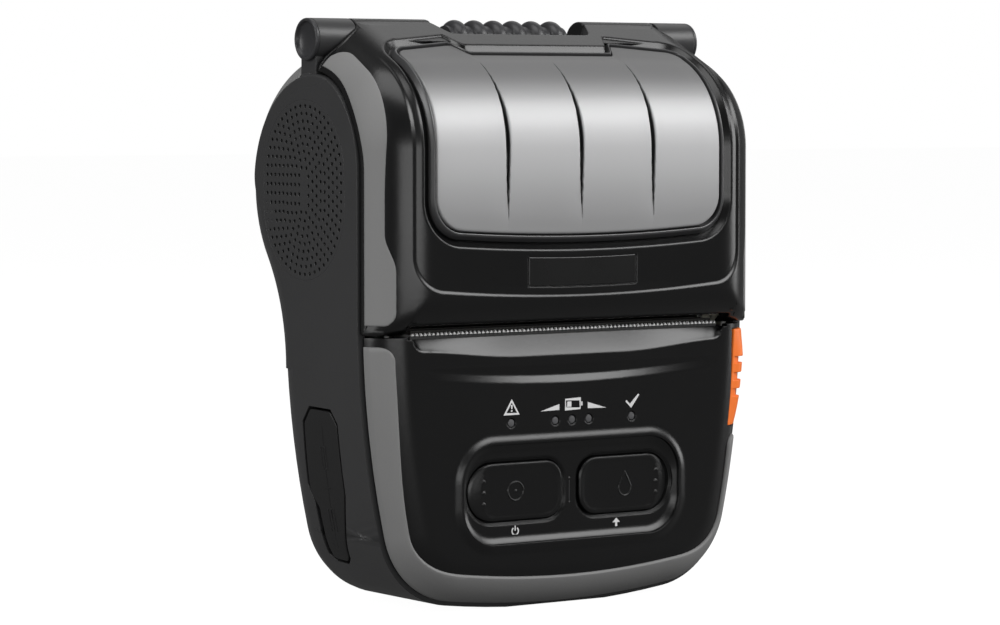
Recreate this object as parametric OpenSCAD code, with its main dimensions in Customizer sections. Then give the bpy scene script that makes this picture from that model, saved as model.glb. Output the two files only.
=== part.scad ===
// Portable receipt printer for 80 mm paper, standing upright, front towards -Y.
// Origin: middle of the underside. X is the width, Z the height. Millimetres.

/* [Housing] */
// Half of the width over the flat sides
half_w = 52.6; // [50:0.1:56]
// Front face of the cover, measured forward of the origin
cover_front = 29.2; // [28.4:0.1:31]
// Front of the grey rubber round the lower panel, measured forward of the origin
panel_front = 25.6; // [24.6:0.1:26.4]
// Back face of the lower housing, measured behind the origin
back_face = 16.5; // [16:0.1:19]
// Wall thickness of the back shell and the front panel
wall = 2; // [1.6:0.1:2.4]
// Wall thickness of the cover
cover_wall = 2.4; // [2.2:0.1:2.8]
// Thickness of the grey rubber bumpers
bumper_t = 1.3; // [1:0.1:1.4]
// Height where the straight sides start to curve inwards
crown_z = 66; // [64:0.5:70]
// Radius of the inward curve of the sides
crown_r = 220; // [200:5:300]
// Radius of the lower corners, seen from the front
corner_r = 20; // [16:0.5:22]
// Radius of the bowed underside
bow_r = 230; // [200:5:300]
// Thickness of the grey rubber round the lower panel
edge_t = 0.8; // [0.6:0.1:1]
// How much of the bow is cut away to stand on
foot_cut = 0.4; // [0.2:0.05:0.6]
// Edge radius along the front of the lower panel
panel_edge_r = 10; // [8:0.5:11]
// Edge radius down the front sides of the cover
cover_edge_r = 14; // [12:0.5:15]
// Edge radius along the back
back_edge_r = 8; // [6:0.5:9]

/* [Cover] */
// Radius of the roof curve at the top of the cover
roof_r = 22.2; // [21:0.1:23]
// Height of the centre of the roof curve
roof_z = 101.5; // [100:0.1:102]
// Lower edge of the cover
cover_bottom = 61.6; // [61.3:0.1:62.4]
// How far the cover opens, in degrees
cover_open = 95; // [90:1:100]
// Half of the width of the window
window_half = 38.9; // [36:0.1:40]
// Lower edge of the window
window_bottom = 83.4; // [82:0.1:86]
// Thickness of the window
window_t = 1.2; // [0.9:0.1:1.4]

/* [Hinge] */
// Height of the hinge axis
hinge_z = 125.5; // [125:0.1:126]
// Hinge axis, measured behind the origin
hinge_y = 2.4; // [1.8:0.1:3]
// Radius of the hinge barrels
barrel_r = 4.7; // [4.4:0.1:5]
// Radius of the hinge pin
pin_r = 1.5; // [1.2:0.1:1.8]

/* [Paper and print] */
// Width of the paper
paper_w = 79.8; // [75:0.1:80.2]
// Radius of the loaded paper roll
roll_r = 24; // [15:0.5:24.5]
// Radius of the paper bay
bay_r = 25.2; // [24.9:0.1:25.4]
// Radius of the roll's core, outside
core_r = 9.5; // [8:0.1:10]
// Radius of the hole in the core
core_bore_r = 6.5; // [5:0.1:7]
// Height of the platen axis
platen_z = 67.5; // [67:0.1:68]
// Platen axis, measured forward of the origin
platen_front = 18.5; // [18:0.1:19]
// Radius of the rubber platen
platen_r = 4.5; // [4.2:0.1:4.6]
// Radius of the platen shaft
shaft_r = 1.5; // [1.2:0.1:1.6]
// Gap in the paper path between platen and print head
nip = 0.3; // [0.3:0.05:0.4]
// Gear module
gear_m = 0.4; // [0.35:0.01:0.4]
// Teeth on the platen gear
platen_teeth = 22; // [20:1:22]
// Teeth on the idler gear
idler_teeth = 30; // [28:1:32]
// Teeth on the motor pinion
pinion_teeth = 12; // [12:1:14]
// Width of the gears
gear_w = 2.2; // [1.8:0.1:2.2]

/* [Controls] */
// Inner end of the two keys, from the middle
key_in = 2.3; // [2:0.1:3]
// Outer end of the two keys, from the middle
key_out = 27.4; // [25:0.1:28]
// Lower edge of the keys
key_bottom = 20; // [18:0.1:21]
// Upper edge of the keys
key_top = 32.8; // [31:0.1:34]
// Travel of the keys
key_travel = 0.8; // [0.5:0.1:0.9]
// Travel of the release button
release_travel = 1; // [0.8:0.1:1.4]
// Height of the indicator lamps
lamp_z = 41.5; // [40.5:0.1:43]
// Radius of the indicator lamps
lamp_r = 1; // [0.8:0.1:1.2]
// Lower end of the release button
release_bottom = 41.4; // [40:0.1:44]
// Upper end of the release button
release_top = 59.8; // [58:0.1:60]

/* [Battery and ports] */
// Half of the width of the battery pack
battery_half = 30; // [26:0.5:31]
// Lower edge of the battery pack
battery_bottom = 14; // [13:0.1:16]
// Upper edge of the battery pack
battery_top = 50; // [44:0.1:50.5]
// Thickness of the battery pack
battery_t = 13; // [10:0.1:13.4]
// Height of the power socket
power_z = 36.5; // [35:0.1:38]
// Height of the data socket
data_z = 18.5; // [17:0.1:20]
// Both sockets, measured forward of the origin
socket_front = 1; // [0.5:0.1:1.5]

/* [Fits] */
// Gap between a moving part and its neighbour
gap = 0.3; // [0.3:0.05:0.35]
// Radial clearance of a running fit
run = 0.05; // [0.03:0.01:0.08]
// Width of the groove between the side walls and the cover
seam = 0.3; // [0.3:0.05:0.5]

/* [Hidden] */
$fn = 72;

// Small overlap for clean unions and cuts
eps = 0.02;
// Flat steps in a rounded edge, and in a long slow curve
edge_n = 7;
crown_n = 6;
// Depth of the rim band that carries the rounded edges
band = 13;
// A flat core lies this much below the faces of the rings round it
core_step = 0.03;
// Front edge of the back shell's sides
seam_y = -18.4;
front_seam_y = seam_y - seam;
bumper_y = seam_y - 1.8;
// Centre of the roof curve, and of the drum behind it
roof_c = [roof_r - cover_front, roof_z];
drum_c = [-0.5, 93];
drum_r = 29.7;
// Radius of the hollow that joins the drum to the flat back
hollow_r = 40;
// Centre and radius of the round top of the side walls
side_top_r = 21.8;
side_top_c = [seam_y + side_top_r, 97];
hinge_c = [hinge_y, hinge_z];
// The black face of the lower panel, inside the rubber edge
face_y = -panel_front + edge_t;
roll_c = [0, 93.3];
platen_c = [-platen_front, platen_z];

function arc(c, r, a0, a1, n) =
  r == 0 ? [c] : [for (i = [0:n]) c + r * [cos(a0 + (a1 - a0) * i / n), sin(a0 + (a1 - a0) * i / n)]];
// Where two circles meet, on the right of the line from a to b
function meet(a, ra, b, rb) =
  let (d = norm(b - a), k = (d * d + ra * ra - rb * rb) / (2 * d), u = (b - a) / d)
  a + k * u + sqrt(ra * ra - k * k) * [u[1], -u[0]];
function flip(points) = [for (i = [len(points) - 1:-1:1]) [-points[i][0], points[i][1]]];
function turn(v, a) = [v[0] * cos(a) - v[1] * sin(a), v[0] * sin(a) + v[1] * cos(a)];

// Front view outline: crowned sides, round lower corners and a bowed underside
side_c = [half_w - crown_r, crown_z];
bow_c = [0, bow_r - foot_cut];
knee_c = meet(side_c, crown_r - corner_r, bow_c, bow_r - corner_r);
a_side = atan2(knee_c[1] - side_c[1], knee_c[0] - side_c[0]);
a_bow = atan2(knee_c[1] - bow_c[1], knee_c[0] - bow_c[0]);
function right_half(d) = concat(
  arc(bow_c, bow_r - d, -90, a_bow, crown_n),
  arc(knee_c, corner_r - d, a_bow, a_side, edge_n),
  arc(side_c, crown_r - d, a_side, 0, crown_n));
function outline(d) = concat(right_half(d), flip(right_half(d)));
function side_x(z) = side_c[0] + sqrt(crown_r * crown_r - pow(min(z, crown_z) - crown_z, 2));

// A prism along X from a drawing in Y and Z, and one along Y from X and Z
module along_x(x0, x1) translate([x0, 0, 0]) rotate([90, 0, 90]) linear_extrude(x1 - x0) children();
module along_y(y0, y1) translate([0, y1, 0]) rotate([90, 0, 0]) linear_extrude(y1 - y0) children();
// Turns a section of radius and X about an axis along X, from a0 to a1 above +Y
module about_x(c, a0, a1) {
  from = a1 % 90 == 0 ? a1 : a0;
  translate([0, c[0], c[1]]) rotate([0, 90, 0]) rotate([0, 0, 90 + from])
    rotate_extrude(angle = from == a0 ? a1 - a0 : a0 - a1) children();
}
// Turns a section of radius and Y about an axis along Y, from a0 to a1 above +X
module about_y(c, a0, a1) {
  translate([c[0], 0, c[1]]) rotate([90, 0, 0]) rotate([0, 0, a0])
    rotate_extrude(angle = a1 - a0) mirror([0, 1]) children();
}
module rod(c, x0, x1, r) translate([x0, c[0], c[1]]) rotate([0, 90, 0]) cylinder(h = x1 - x0, r = r);
module post(x, z, y0, y1, r) translate([x, y0, z]) rotate([-90, 0, 0]) cylinder(h = y1 - y0, r = r);
module box(x0, x1, y0, y1, z0, z1) translate([x0, y0, z0]) cube([x1 - x0, y1 - y0, z1 - z0]);
module both_sides() for (m = [0, 1]) mirror([m, 0, 0]) children();
function round_rect(x0, x1, z0, z1, r) = concat(
  arc([x1 - r, z0 + r], r, -90, 0, edge_n), arc([x1 - r, z1 - r], r, 0, 90, edge_n),
  arc([x0 + r, z1 - r], r, 90, 180, edge_n), arc([x0 + r, z0 + r], r, 180, 270, edge_n));

// Section of the lower housing's wall, from depth d to depth d + t below the outline.
// Radius r0 rounds it in front and r1 behind, and a radius of 0 leaves that side open.
// Arc of radius q that starts or ends at a right angle, clipped at the height y1
function front_arc(c, q, y1) = arc(c, q, -90, y1 < c[1] ? asin((y1 - c[1]) / q) : 0, edge_n);
function skin(r, y0, y1, r0, r1, d, t, w) =
  let (c0 = [r - r0, y0 + r0], c1 = [r - r1, y1 - r1], over = r0 > 0 && y1 < c0[1],
    inner = r0 > 0 ? front_arc(c0, r0 - d - t, y1) : [[r - d - t, y0]])
  concat(
    r0 > 0 ? concat([[r - w, y0 + d]], front_arc(c0, r0 - d, y1)) : [[r - d, y0]],
    over ? [] : r1 > 0 ? concat(arc(c1, r1 - d, 0, 90, edge_n), [[r - w, y1 - d], [r - w, y1 - d - t]],
      arc(c1, r1 - d - t, 90, 0, edge_n)) : [[r - d, y1], [r - d - t, y1]],
    [for (i = [len(inner) - 1:-1:0]) inner[i]],
    r0 > 0 ? [[r - w, y0 + d + t]] : []);
module low_ring(y0, y1, r0, r1, d, t, w) {
  both_sides() {
    about_y(side_c, a_side, 0) polygon(skin(crown_r, y0, y1, r0, r1, d, t, w));
    about_y(knee_c, a_bow, a_side) polygon(skin(corner_r, y0, y1, r0, r1, d, t, w));
  }
  about_y(bow_c, -180 - a_bow, a_bow) polygon(skin(bow_r, y0, y1, r0, r1, d, t, w));
}
module under_cut() box(-half_w, half_w, -half_w, half_w, -5, 0);

// Back shell

// Side view of the drum, the hollow below it and the flat back, d inside the surface
hollow_c = [back_face + hollow_r,
  drum_c[1] - sqrt(pow(drum_r + hollow_r, 2) - pow(back_face + hollow_r - drum_c[0], 2))];
a_hollow = atan2(hollow_c[1] - drum_c[1], hollow_c[0] - drum_c[0]);
function back_profile(d) = concat(
  arc(drum_c, drum_r - d, 90, a_hollow, 2 * edge_n),
  arc(hollow_c, hollow_r + d, 180 + a_hollow, 180, crown_n));
module drum_skin(d, t, a0, a1) {
  r = drum_r - d;
  e = back_edge_r - d;
  w = half_w - d;
  function side(s) = concat([[drum_r - back_edge_r - 1, s * w]],
    arc([r - e, s * (w - e)], e, s * 90, 0, edge_n));
  function inner(s) = concat(arc([r - e, s * (w - e)], e - t, 0, s * 90, edge_n),
    [[drum_r - back_edge_r - 1, s * (w - t)]]);
  about_x(drum_c, a0, a1) polygon(concat(
    side(-1), [for (i = [edge_n + 1:-1:0]) side(1)[i]],
    [for (i = [edge_n + 1:-1:0]) inner(1)[i]], inner(-1)));
}
module hollow_skin() {
  e = back_edge_r;
  w = half_w;
  r = hollow_r + e;
  function side(s) = concat([[r + 1, s * w]], arc([r, s * (w - e)], e, s * 90, s * 180, edge_n));
  function inner(s) = concat(arc([r, s * (w - e)], e - wall, s * 180, s * 90, edge_n),
    [[r + 1, s * (w - wall)]]);
  about_x(hollow_c, 180 + a_hollow, 180) polygon(concat(
    side(-1), [for (i = [edge_n + 1:-1:0]) side(1)[i]],
    [for (i = [edge_n + 1:-1:0]) inner(1)[i]], inner(-1)));
}
// Side wall, above the hollow's lower end
module side_wall() intersection() {
  along_x(half_w - wall, half_w) polygon(concat(
    [[back_face + 20, hollow_c[1] - 1], [seam_y, hollow_c[1] - 1]],
    arc(side_top_c, side_top_r, 180, 60, 24), [[back_face + 20, side_top_c[1] + 10]]));
  along_x(half_w - wall - 1, half_w + 1) polygon(concat(back_profile(back_edge_r - 0.5),
    [[back_face - back_edge_r + 0.5, hollow_c[1] - 2], [-60, hollow_c[1] - 2], [-60, 130]]));
}
module port_hole(g) {
  x = [[2.6, 44.8], [5.8, 41.4], [6.9, 27.6], [5.2, 23.8], [4.6, 12], [2.8, 10.6], [-1.6, 10.3],
    [-3.4, 11.6], [-7.6, 26], [-8.1, 41.6], [-5.8, 44.6]];
  along_x(-60, -40) offset_poly(x, g);
}
// Straight-edged outline grown by g about its own middle
module offset_poly(points, g) {
  n = len(points);
  grown = [for (i = [0:n - 1])
    let (a = points[(i + n - 1) % n], b = points[i], c = points[(i + 1) % n],
      u = (b - a) / norm(b - a), v = (c - b) / norm(c - b),
      nu = [-u[1], u[0]], nv = [-v[1], v[0]], k = 1 + nu * nv)
    b + g * (nu + nv) / k];
  polygon(grown);
}
bay_c = 3.2;
screw_spots = [[battery_half + 5, 19], [battery_half + 5, 46]];
boss_y = -12;
module rear_shell() color([0.17, 0.17, 0.175]) difference() {
  union() {
    difference() {
      intersection() {
        union() {
          drum_skin(0, wall, a_hollow, 85);
          hollow_skin();
          both_sides() side_wall();
        }
        along_y(-40, 40) polygon(concat(right_half(0), [[half_w, 140], [-half_w, 140]], flip(right_half(0))));
      }
      box(-half_w, half_w, -40, 40, 0, hollow_c[1]);
    }
    difference() {
      union() {
        low_ring(seam_y, back_face, 0, back_edge_r, 0, wall, band);
        along_y(back_face - wall - core_step, back_face - core_step) polygon(outline(band - 1));
      }
      box(-half_w - 1, half_w + 1, -40, 40, hollow_c[1], 80);
      under_cut();
    }
    // battery bay
    box(-battery_half - 1.8, battery_half + 1.8, bay_c - 1.4, back_face - 1,
      battery_bottom - 1.8, battery_top + 1.8);
    // screw bosses
    both_sides() for (s = screw_spots) post(s[0], s[1], boss_y, back_face - 1, 3.4);
    // ribs that the print mechanism and the paper bay sit on
    both_sides() {
      box(45.6, half_w - 1.6, 1, 2.6, 48, 60);
      box(20, 22, 8, back_face - 1, 60, 84);
    }
    // hinge barrels and their necks
    both_sides() {
      rod(hinge_c, 41.9, half_w - 1, barrel_r);
      box(43, half_w - 1, hinge_y - 2.9, hinge_y + 3.1, 113, hinge_z);
    }
  }
  // battery pocket
  box(-battery_half - gap, battery_half + gap, bay_c, 40, battery_bottom - gap, battery_top + gap);
  // latch pocket
  box(-8 - gap, 8 + gap, back_face - 2.2, 40, battery_top - eps, battery_top + 5.5);
  // screw holes
  both_sides() for (s = screw_spots) {
    post(s[0], s[1], back_face - 2.2, 40, 2.8);
    post(s[0], s[1], seam_y, back_face, 1.4);
  }
  rod(roll_c, -45, 45, bay_r + bucket_t);
  // room for the cover's knuckles and rings, and the pin
  rod(hinge_c, -41.9, 41.9, barrel_r + 0.6);
  rod(hinge_c, -49.4, 49.4, pin_r);
  both_sides() rod(hinge_c, half_w - 2.6, half_w + 1, 3.9);
  knuckle_web();
  // seats for the grey bumpers and the grille
  both_sides() rear_bumper_cut();
  along_x(-half_w - 1, -half_w + 1.2) grille_shape(16.6);
  port_hole(gap);
}
module rear_bumper_skin(r_out) {
  r = drum_r;
  e = back_edge_r;
  function at(a, q) = [r - e + q * cos(a), half_w - e + q * sin(a)];
  about_x(drum_c, 22, 84) polygon(concat(
    [for (i = [0:edge_n]) at(15 + (88 - 15) * i / edge_n, r_out)],
    [for (i = [edge_n:-1:0]) at(15 + (88 - 15) * i / edge_n, e - bumper_t)]));
}
module rear_bumper_cut() difference() {
  rear_bumper_skin(back_edge_r + 1);
  along_x(0, 60) translate(side_top_c) circle(side_top_r + 0.6);
  box(40, 60, -20, hinge_y + 5, 100, 140);
}
module rear_bumper_right() color([0.47, 0.47, 0.47]) difference() {
  rear_bumper_skin(back_edge_r);
  along_x(0, 60) translate(side_top_c) circle(side_top_r + 0.6);
  box(40, 60, -20, hinge_y + 5, 100, 140);
}
module rear_bumper_left() mirror([1, 0, 0]) rear_bumper_right();

// Perforated insert on the left side
grille_c = [3.1, 92.5];
grille_straight = 6.5;
module grille_shape(r) {
  polygon(concat(arc(grille_c + [0, grille_straight / 2], r, 0, 180, 16),
    arc(grille_c - [0, grille_straight / 2], r, 180, 360, 16)));
}
hole_r = 0.42;
hole_pitch = 2.05;
ring_pitch = 1.66;
function on_stadium(s, r) =
  let (h = grille_straight, q = PI * r, l = 2 * q + 2 * h, t = s - l * floor(s / l))
  t < q ? grille_c + [r * cos(t / r * 180 / PI), h / 2 + r * sin(t / r * 180 / PI)] :
  t < q + h ? grille_c + [-r, h / 2 - (t - q)] :
  t < 2 * q + h ? grille_c + [-r * cos((t - q - h) / r * 180 / PI), -h / 2 - r * sin((t - q - h) / r * 180 / PI)] :
  grille_c + [r, -h / 2 + (t - 2 * q - h)];
module left_grille() color([0.24, 0.24, 0.25]) difference() {
  along_x(-half_w, -half_w + 1.2) grille_shape(16.6);
  for (r = [15.2:-ring_pitch:0.8]) {
    n = round((2 * PI * r + 2 * grille_straight) / hole_pitch);
    for (i = [0:n - 1]) {
      p = on_stadium((2 * PI * r + 2 * grille_straight) * i / n, r);
      rod(p, -half_w - 1, -half_w + 0.7, hole_r, $fn = 16);
    }
  }
}

// Hinge
module hinge_pin() color([0.7, 0.7, 0.72]) rod(hinge_c, -49.2, 49.2, pin_r);
module hinge_caps() color([0.2, 0.2, 0.21]) both_sides() difference() {
  rod(hinge_c, half_w - 2.6, half_w - 0.9, 3.9);
  translate([half_w + 9.4, hinge_y, hinge_z]) sphere(10.8);
}
ring_n = 6;
ring_pitch_x = 5.28;
module knuckle_web() box(-15.5, 15.5, hinge_y + 1, hinge_y + 6.5, 119.4, 124.6);
module ribbed_knuckle() color([0.13, 0.13, 0.135]) difference() {
  union() {
    rod(hinge_c, -16, 16, 3.4);
    for (i = [0:ring_n - 1])
      about_x(hinge_c, 0, 360) translate([2.7, (i - (ring_n - 1) / 2) * ring_pitch_x]) circle(2, $fn = 24);
    knuckle_web();
  }
  rod(hinge_c, -20, 20, pin_r);
}

// Lower front

// The front edge is a run of stations along the outline, each one turned square to it.
// A station is a point, the direction inwards and the width of the grey bumper there.
side_w = 4.4;
bow_w = 9;
function on_arc(c, r, a, w) = [c + r * [cos(a), sin(a)], -[cos(a), sin(a)], w];
function half_stations(a_top) = concat(
  [for (i = [0:crown_n]) on_arc(bow_c, bow_r, -90 + (a_bow + 90) * i / crown_n, bow_w)],
  [for (i = [1:2 * edge_n]) let (t = i / (2 * edge_n))
    on_arc(knee_c, corner_r, a_bow + (a_side - a_bow) * t, bow_w + (side_w - bow_w) * (1 - cos(180 * t)) / 2)],
  [for (i = [1:crown_n]) on_arc(side_c, crown_r, a_side + (a_top - a_side) * i / crown_n, side_w)]);
function turn_at(z) = asin((z - side_c[1]) / crown_r);
function stations(z_left, z_right) = concat(
  [let (h = half_stations(turn_at(z_left))) for (i = [len(h) - 1:-1:1])
    [[-h[i][0][0], h[i][0][1]], [-h[i][1][0], h[i][1][1]], h[i][2]]],
  half_stations(turn_at(z_right)));
// Angle round the front edge at the inside of the bumper, and where the edge reaches y
function edge_in(w) = w >= panel_edge_r ? -90 : -acos((panel_edge_r - w) / panel_edge_r);
function edge_at(y, q) = asin((y + panel_front - panel_edge_r) / q);
// Points on the edge at depth d, between two angles round it
function edge_run(d, a0, a1, n) = [for (i = [0:n]) let (a = a0 + (a1 - a0) * i / n)
  [panel_edge_r - (panel_edge_r - d) * cos(a), panel_edge_r - panel_front + (panel_edge_r - d) * sin(a)]];
bumper_a = edge_at(bumper_y, panel_edge_r);
// A hair less than the rubber's thickness, as its stations are straight in between
function bumper_at(st) = concat(edge_run(0, edge_in(st[2]), bumper_a, edge_n),
  edge_run(edge_t - 0.06, bumper_a, edge_in(st[2]), edge_n));
function place(st, sec) = [for (p = sec)
  [st[0][0] + p[0] * st[1][0], p[1], st[0][1] + p[0] * st[1][1]]];
// Closed solid through a list of sections with the same number of points
module loft(sections) {
  m = len(sections[0]);
  last = len(sections) - 1;
  polyhedron([for (q = sections) each q], concat(
    [[for (k = [0:m - 1]) k]], [[for (k = [m - 1:-1:0]) last * m + k]],
    [for (i = [0:last - 1], k = [0:m - 1])
      [i * m + k, (i + 1) * m + k, (i + 1) * m + (k + 1) % m]],
    [for (i = [0:last - 1], k = [0:m - 1])
      [i * m + k, (i + 1) * m + (k + 1) % m, i * m + (k + 1) % m]]));
}
panel_top = cover_bottom - 0.4;
bumper_top = 60.1;
key_shape = [for (s = [-1, 1]) round_rect(s > 0 ? key_in : -key_out, s > 0 ? key_out : -key_in,
  key_bottom, key_top, 4.5)];
module key_prism(s, g, y0, y1) {
  a = s > 0 ? key_in : -key_out;
  b = s > 0 ? key_out : -key_in;
  along_y(y0, y1) polygon(round_rect(a - g, b + g, key_bottom - g, key_top + g, 4.5 + g));
}
lamp_x = [-16.5, -4.6, 0, 4.6, 16.5];
slot_half = 43.8;
slot_bottom = 60.7;
slot_top = 63.7;
scoop_r = 8;
scoop_ring = 430;
recess = 1;
release_x = 45.8;
board_y = -19.4;
board_spots = [[-24, 46], [24, 46], [0, 16]];
module front_panel() color([0.105, 0.105, 0.11]) difference() {
  union() {
    difference() {
      union() {
        low_ring(-panel_front, front_seam_y, panel_edge_r, 0, edge_t, wall, band);
        along_y(face_y + core_step, face_y + wall + core_step) polygon(outline(band - 1));
      }
      box(-60, 60, -40, 40, panel_top, 80);
      under_cut();
    }
    for (s = board_spots) post(s[0], s[1], face_y + 1, board_y, 2.6);
    both_sides() for (s = screw_spots) post(s[0], s[1], face_y + 1, boss_y, 3.4);
  }
  // finger scoop under the slot
  about_y([0, slot_bottom + scoop_ring], -90 - 5.7, -90 + 5.7)
    translate([scoop_ring, face_y - scoop_r + 1.3]) circle(scoop_r);
  // crease
  along_y(face_y - 1, face_y + 0.45) polygon(concat(
    arc([0, 50 + 440], 440, -90 - 5.2, -90 + 5.2, 16),
    arc([0, 51.8 + 3000], 3000, -90 + 0.75, -90 - 0.75, 8)));
  // key bezel, in two steps
  along_y(face_y - 1, face_y + recess / 2) polygon(round_rect(-31, 31, 13.4, 38.4, 10));
  along_y(face_y - 1, face_y + recess) polygon(round_rect(-29.4, 29.4, 15.2, 36.8, 8.5));
  for (s = [-1, 1]) key_prism(s, gap, -40, -10);
  for (x = lamp_x) post(x, lamp_z, -40, -10, lamp_r);
  // slot and tear bar seat
  box(-slot_half, slot_half, -40, -10, slot_bottom, 80);
  // release button pocket
  box(release_x - gap, 60, -40, -10, release_bottom - gap, release_top + gap);
  for (s = board_spots) post(s[0], s[1], face_y + 1.2, -10, 1);
  both_sides() for (s = screw_spots) post(s[0], s[1], -16, -10, 1.4);
}
module lower_bumper() color([0.45, 0.45, 0.45]) difference() {
  loft([for (st = stations(bumper_top, release_bottom - 3.2)) place(st, bumper_at(st))]);
  under_cut();
}

// Toothed strip that the paper is torn on
tooth_n = 77;
tooth_pitch = 1.09;
module tear_bar() color([0.8, 0.8, 0.82]) {
  w = tooth_n * tooth_pitch / 2;
  y = face_y + wall + core_step;
  along_y(y, y + 0.6) polygon(concat(
    [[-w, 54]], [[w, 54], [w, 61.2]],
    [for (i = [0:2 * tooth_n - 1]) [w - (i + 0.5) * tooth_pitch / 2, i % 2 == 0 ? 62 : 61.2]],
    [[-w, 61.2]]));
}

// Paper bay
bucket_t = 1.4;
bucket_half = paper_w / 2 + 1.2;
module bucket_end() difference() {
  union() {
    circle(bay_r + bucket_t - 0.2);
    translate([-14, -bay_r - 1]) square([28, 10]);
  }
  translate([-60, -60]) square([60 - 16, 120]);
  rotate(12) translate([-40, 4]) square([46, 40]);
}
module paper_bucket() color([0.16, 0.16, 0.17]) union() {
  w = bucket_half + bucket_t - 0.1;
  about_x(roll_c, -132, 70) polygon([[bay_r, -w], [bay_r + bucket_t, -w], [bay_r + bucket_t, w], [bay_r, w]]);
  both_sides() along_x(bucket_half, bucket_half + bucket_t) translate(roll_c) bucket_end();
}

// Print mechanism
gear_x = 44.3;
chassis_x = gear_x + gear_w + 0.4;
chassis_t = 1.2;
ear_x = bucket_half + bucket_t;
head_pivot = [-12.8, 61.1];
head_pin_r = 0.9;
open_dir = let (r = platen_c - hinge_c) [r[1], -r[0]] / norm(r);
platen_pr = gear_m * platen_teeth / 2;
idler_pr = gear_m * idler_teeth / 2;
pinion_pr = gear_m * pinion_teeth / 2;
mesh_gap = 0.08;
idler_c = platen_c - open_dir * (platen_pr + idler_pr + mesh_gap);
motor_c = idler_c + (idler_pr + pinion_pr + mesh_gap) * [0.5, -sqrt(0.75)];
motor_r = 7.5;
function gear_points(n, a) =
  let (p = gear_m * n / 2, o = p + gear_m * 0.95, i = p - gear_m * 1.2, t = 360 / n)
  [for (k = [0:n - 1], q = [[i, -0.38], [p, -0.24], [o, -0.1], [o, 0.1], [p, 0.24], [i, 0.38]])
    q[0] * [cos(a + (k + q[1]) * t), sin(a + (k + q[1]) * t)]];
module gear(c, n, a, bore) {
  along_x(gear_x, gear_x + gear_w) translate(c) polygon(gear_points(n, a));
}
a_platen_idler = atan2(idler_c[1] - platen_c[1], idler_c[0] - platen_c[0]);
a_idler_motor = atan2(motor_c[1] - idler_c[1], motor_c[0] - idler_c[0]);
module print_chassis() color([0.62, 0.63, 0.65]) difference() {
  union() {
    box(-chassis_x - chassis_t, chassis_x + chassis_t, -18.5, -12.3, 53, 54.2);
    both_sides() {
      along_x(chassis_x, chassis_x + chassis_t) polygon([[-18, 48], [1, 48], [1, 60], [-4, 68],
        [-12, 71.5], [-21.3, 71.5], [-21.3, 63.6], [-19, 61.6], [-18, 60]]);
      along_x(ear_x, ear_x + chassis_t) polygon([[-15.5, 53], [-10.3, 53], [-10.3, 62.9], [-15.5, 62.9]]);
    }
    along_x(ear_x, ear_x + chassis_t) polygon([[-15.5, 49], [4, 49], [4, 62.6], [-15.5, 62.6]]);
  }
  both_sides() {
    along_x(chassis_x - 1, chassis_x + chassis_t + 1) {
      polygon([for (q = [[0, -1], [9, -1.6], [9, 1.6], [0, 1]])
        platen_c + q[0] * open_dir + q[1] * (shaft_r + 0.1) * [open_dir[1], -open_dir[0]]]);
    }
    rod(platen_c, chassis_x - 1, chassis_x + 3, shaft_r + 0.1);
    rod(head_pivot, ear_x - 1, ear_x + chassis_t + 0.2, head_pin_r + run);
  }
  rod(idler_c, chassis_x - 1, chassis_x + 3, 1.2);
  rod(motor_c, ear_x - 1, ear_x + 3, 2.9);
  both_sides() post(28, 53.6, -30, -29, 1);
}
// Two bent leaf springs between the chassis floor and the heat sink
module head_springs() color([0.75, 0.75, 0.77]) both_sides() {
  c = [-16.7, 55.9];
  along_x(25.8, 30.2) polygon(concat([[-13.4, 57.6]], arc(c, 1.7, 90, 270, 12),
    [[-13, 54.2], [-13, 54.5]], arc(c, 1.4, 270, 90, 12), [[-13.4, 57.3]]));
}
// Open coil of round wire, as a stack of slanted steps round a core-less helix
module coil(r, wire, h, turns) {
  n = 10;
  m = 5;
  total = n * turns;
  function ring(i) = let (a = 360 * i / n, z = wire + (h - 2 * wire) * i / total)
    [for (k = [0:m - 1]) let (b = 360 * k / m + 180 * i / m)
      [(r + wire * cos(b)) * cos(a), (r + wire * cos(b)) * sin(a), z + wire * sin(b)]];
  points = [for (i = [0:total]) each ring(i)];
  faces = concat([[for (k = [0:m - 1]) k]], [[for (k = [m - 1:-1:0]) total * m + k]],
    [for (i = [0:total - 1], k = [0:m - 1])
      [i * m + k, (i + 1) * m + k, i * m + (k + 1) % m]],
    [for (i = [0:total - 1], k = [0:m - 1])
      [(i + 1) * m + k, (i + 1) * m + (k + 1) % m, i * m + (k + 1) % m]]);
  polyhedron(points, faces);
}
module idler_axle() color([0.72, 0.72, 0.74]) rod(idler_c, gear_x - 0.3, chassis_x + chassis_t, 1.2);
module idler_gear() color([0.85, 0.85, 0.8]) difference() {
  gear(idler_c, idler_teeth, a_platen_idler, 1.2);
  rod(idler_c, gear_x - 1, gear_x + gear_w + 1, 1.2 + run);
}
module motor_pinion() color([0.8, 0.7, 0.4]) difference() {
  gear(motor_c, pinion_teeth, a_idler_motor + 180 + 180 / pinion_teeth
    + (a_idler_motor - a_platen_idler) * idler_teeth / pinion_teeth, 0.8);
  rod(motor_c, gear_x - 1, gear_x + gear_w + 1, 0.8 + run);
}
module stepper_motor() color([0.55, 0.56, 0.58]) union() {
  rod(motor_c, ear_x - 14, ear_x, motor_r);
  rod(motor_c, ear_x - eps, ear_x + chassis_t, 2.9);
  rod(motor_c, ear_x - eps, gear_x + gear_w + 0.2, 0.8);
}
module print_head() color([0.85, 0.82, 0.72]) union() {
  z = platen_z - platen_r - nip;
  box(-bucket_half, bucket_half, -21.8, -13, z - 1.1, z - 0.2);
  box(-40, 40, -platen_front - 1, -platen_front + 1, z - 0.3, z);
  rod(head_pivot, -ear_x - chassis_t, ear_x + chassis_t, head_pin_r);
}
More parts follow.
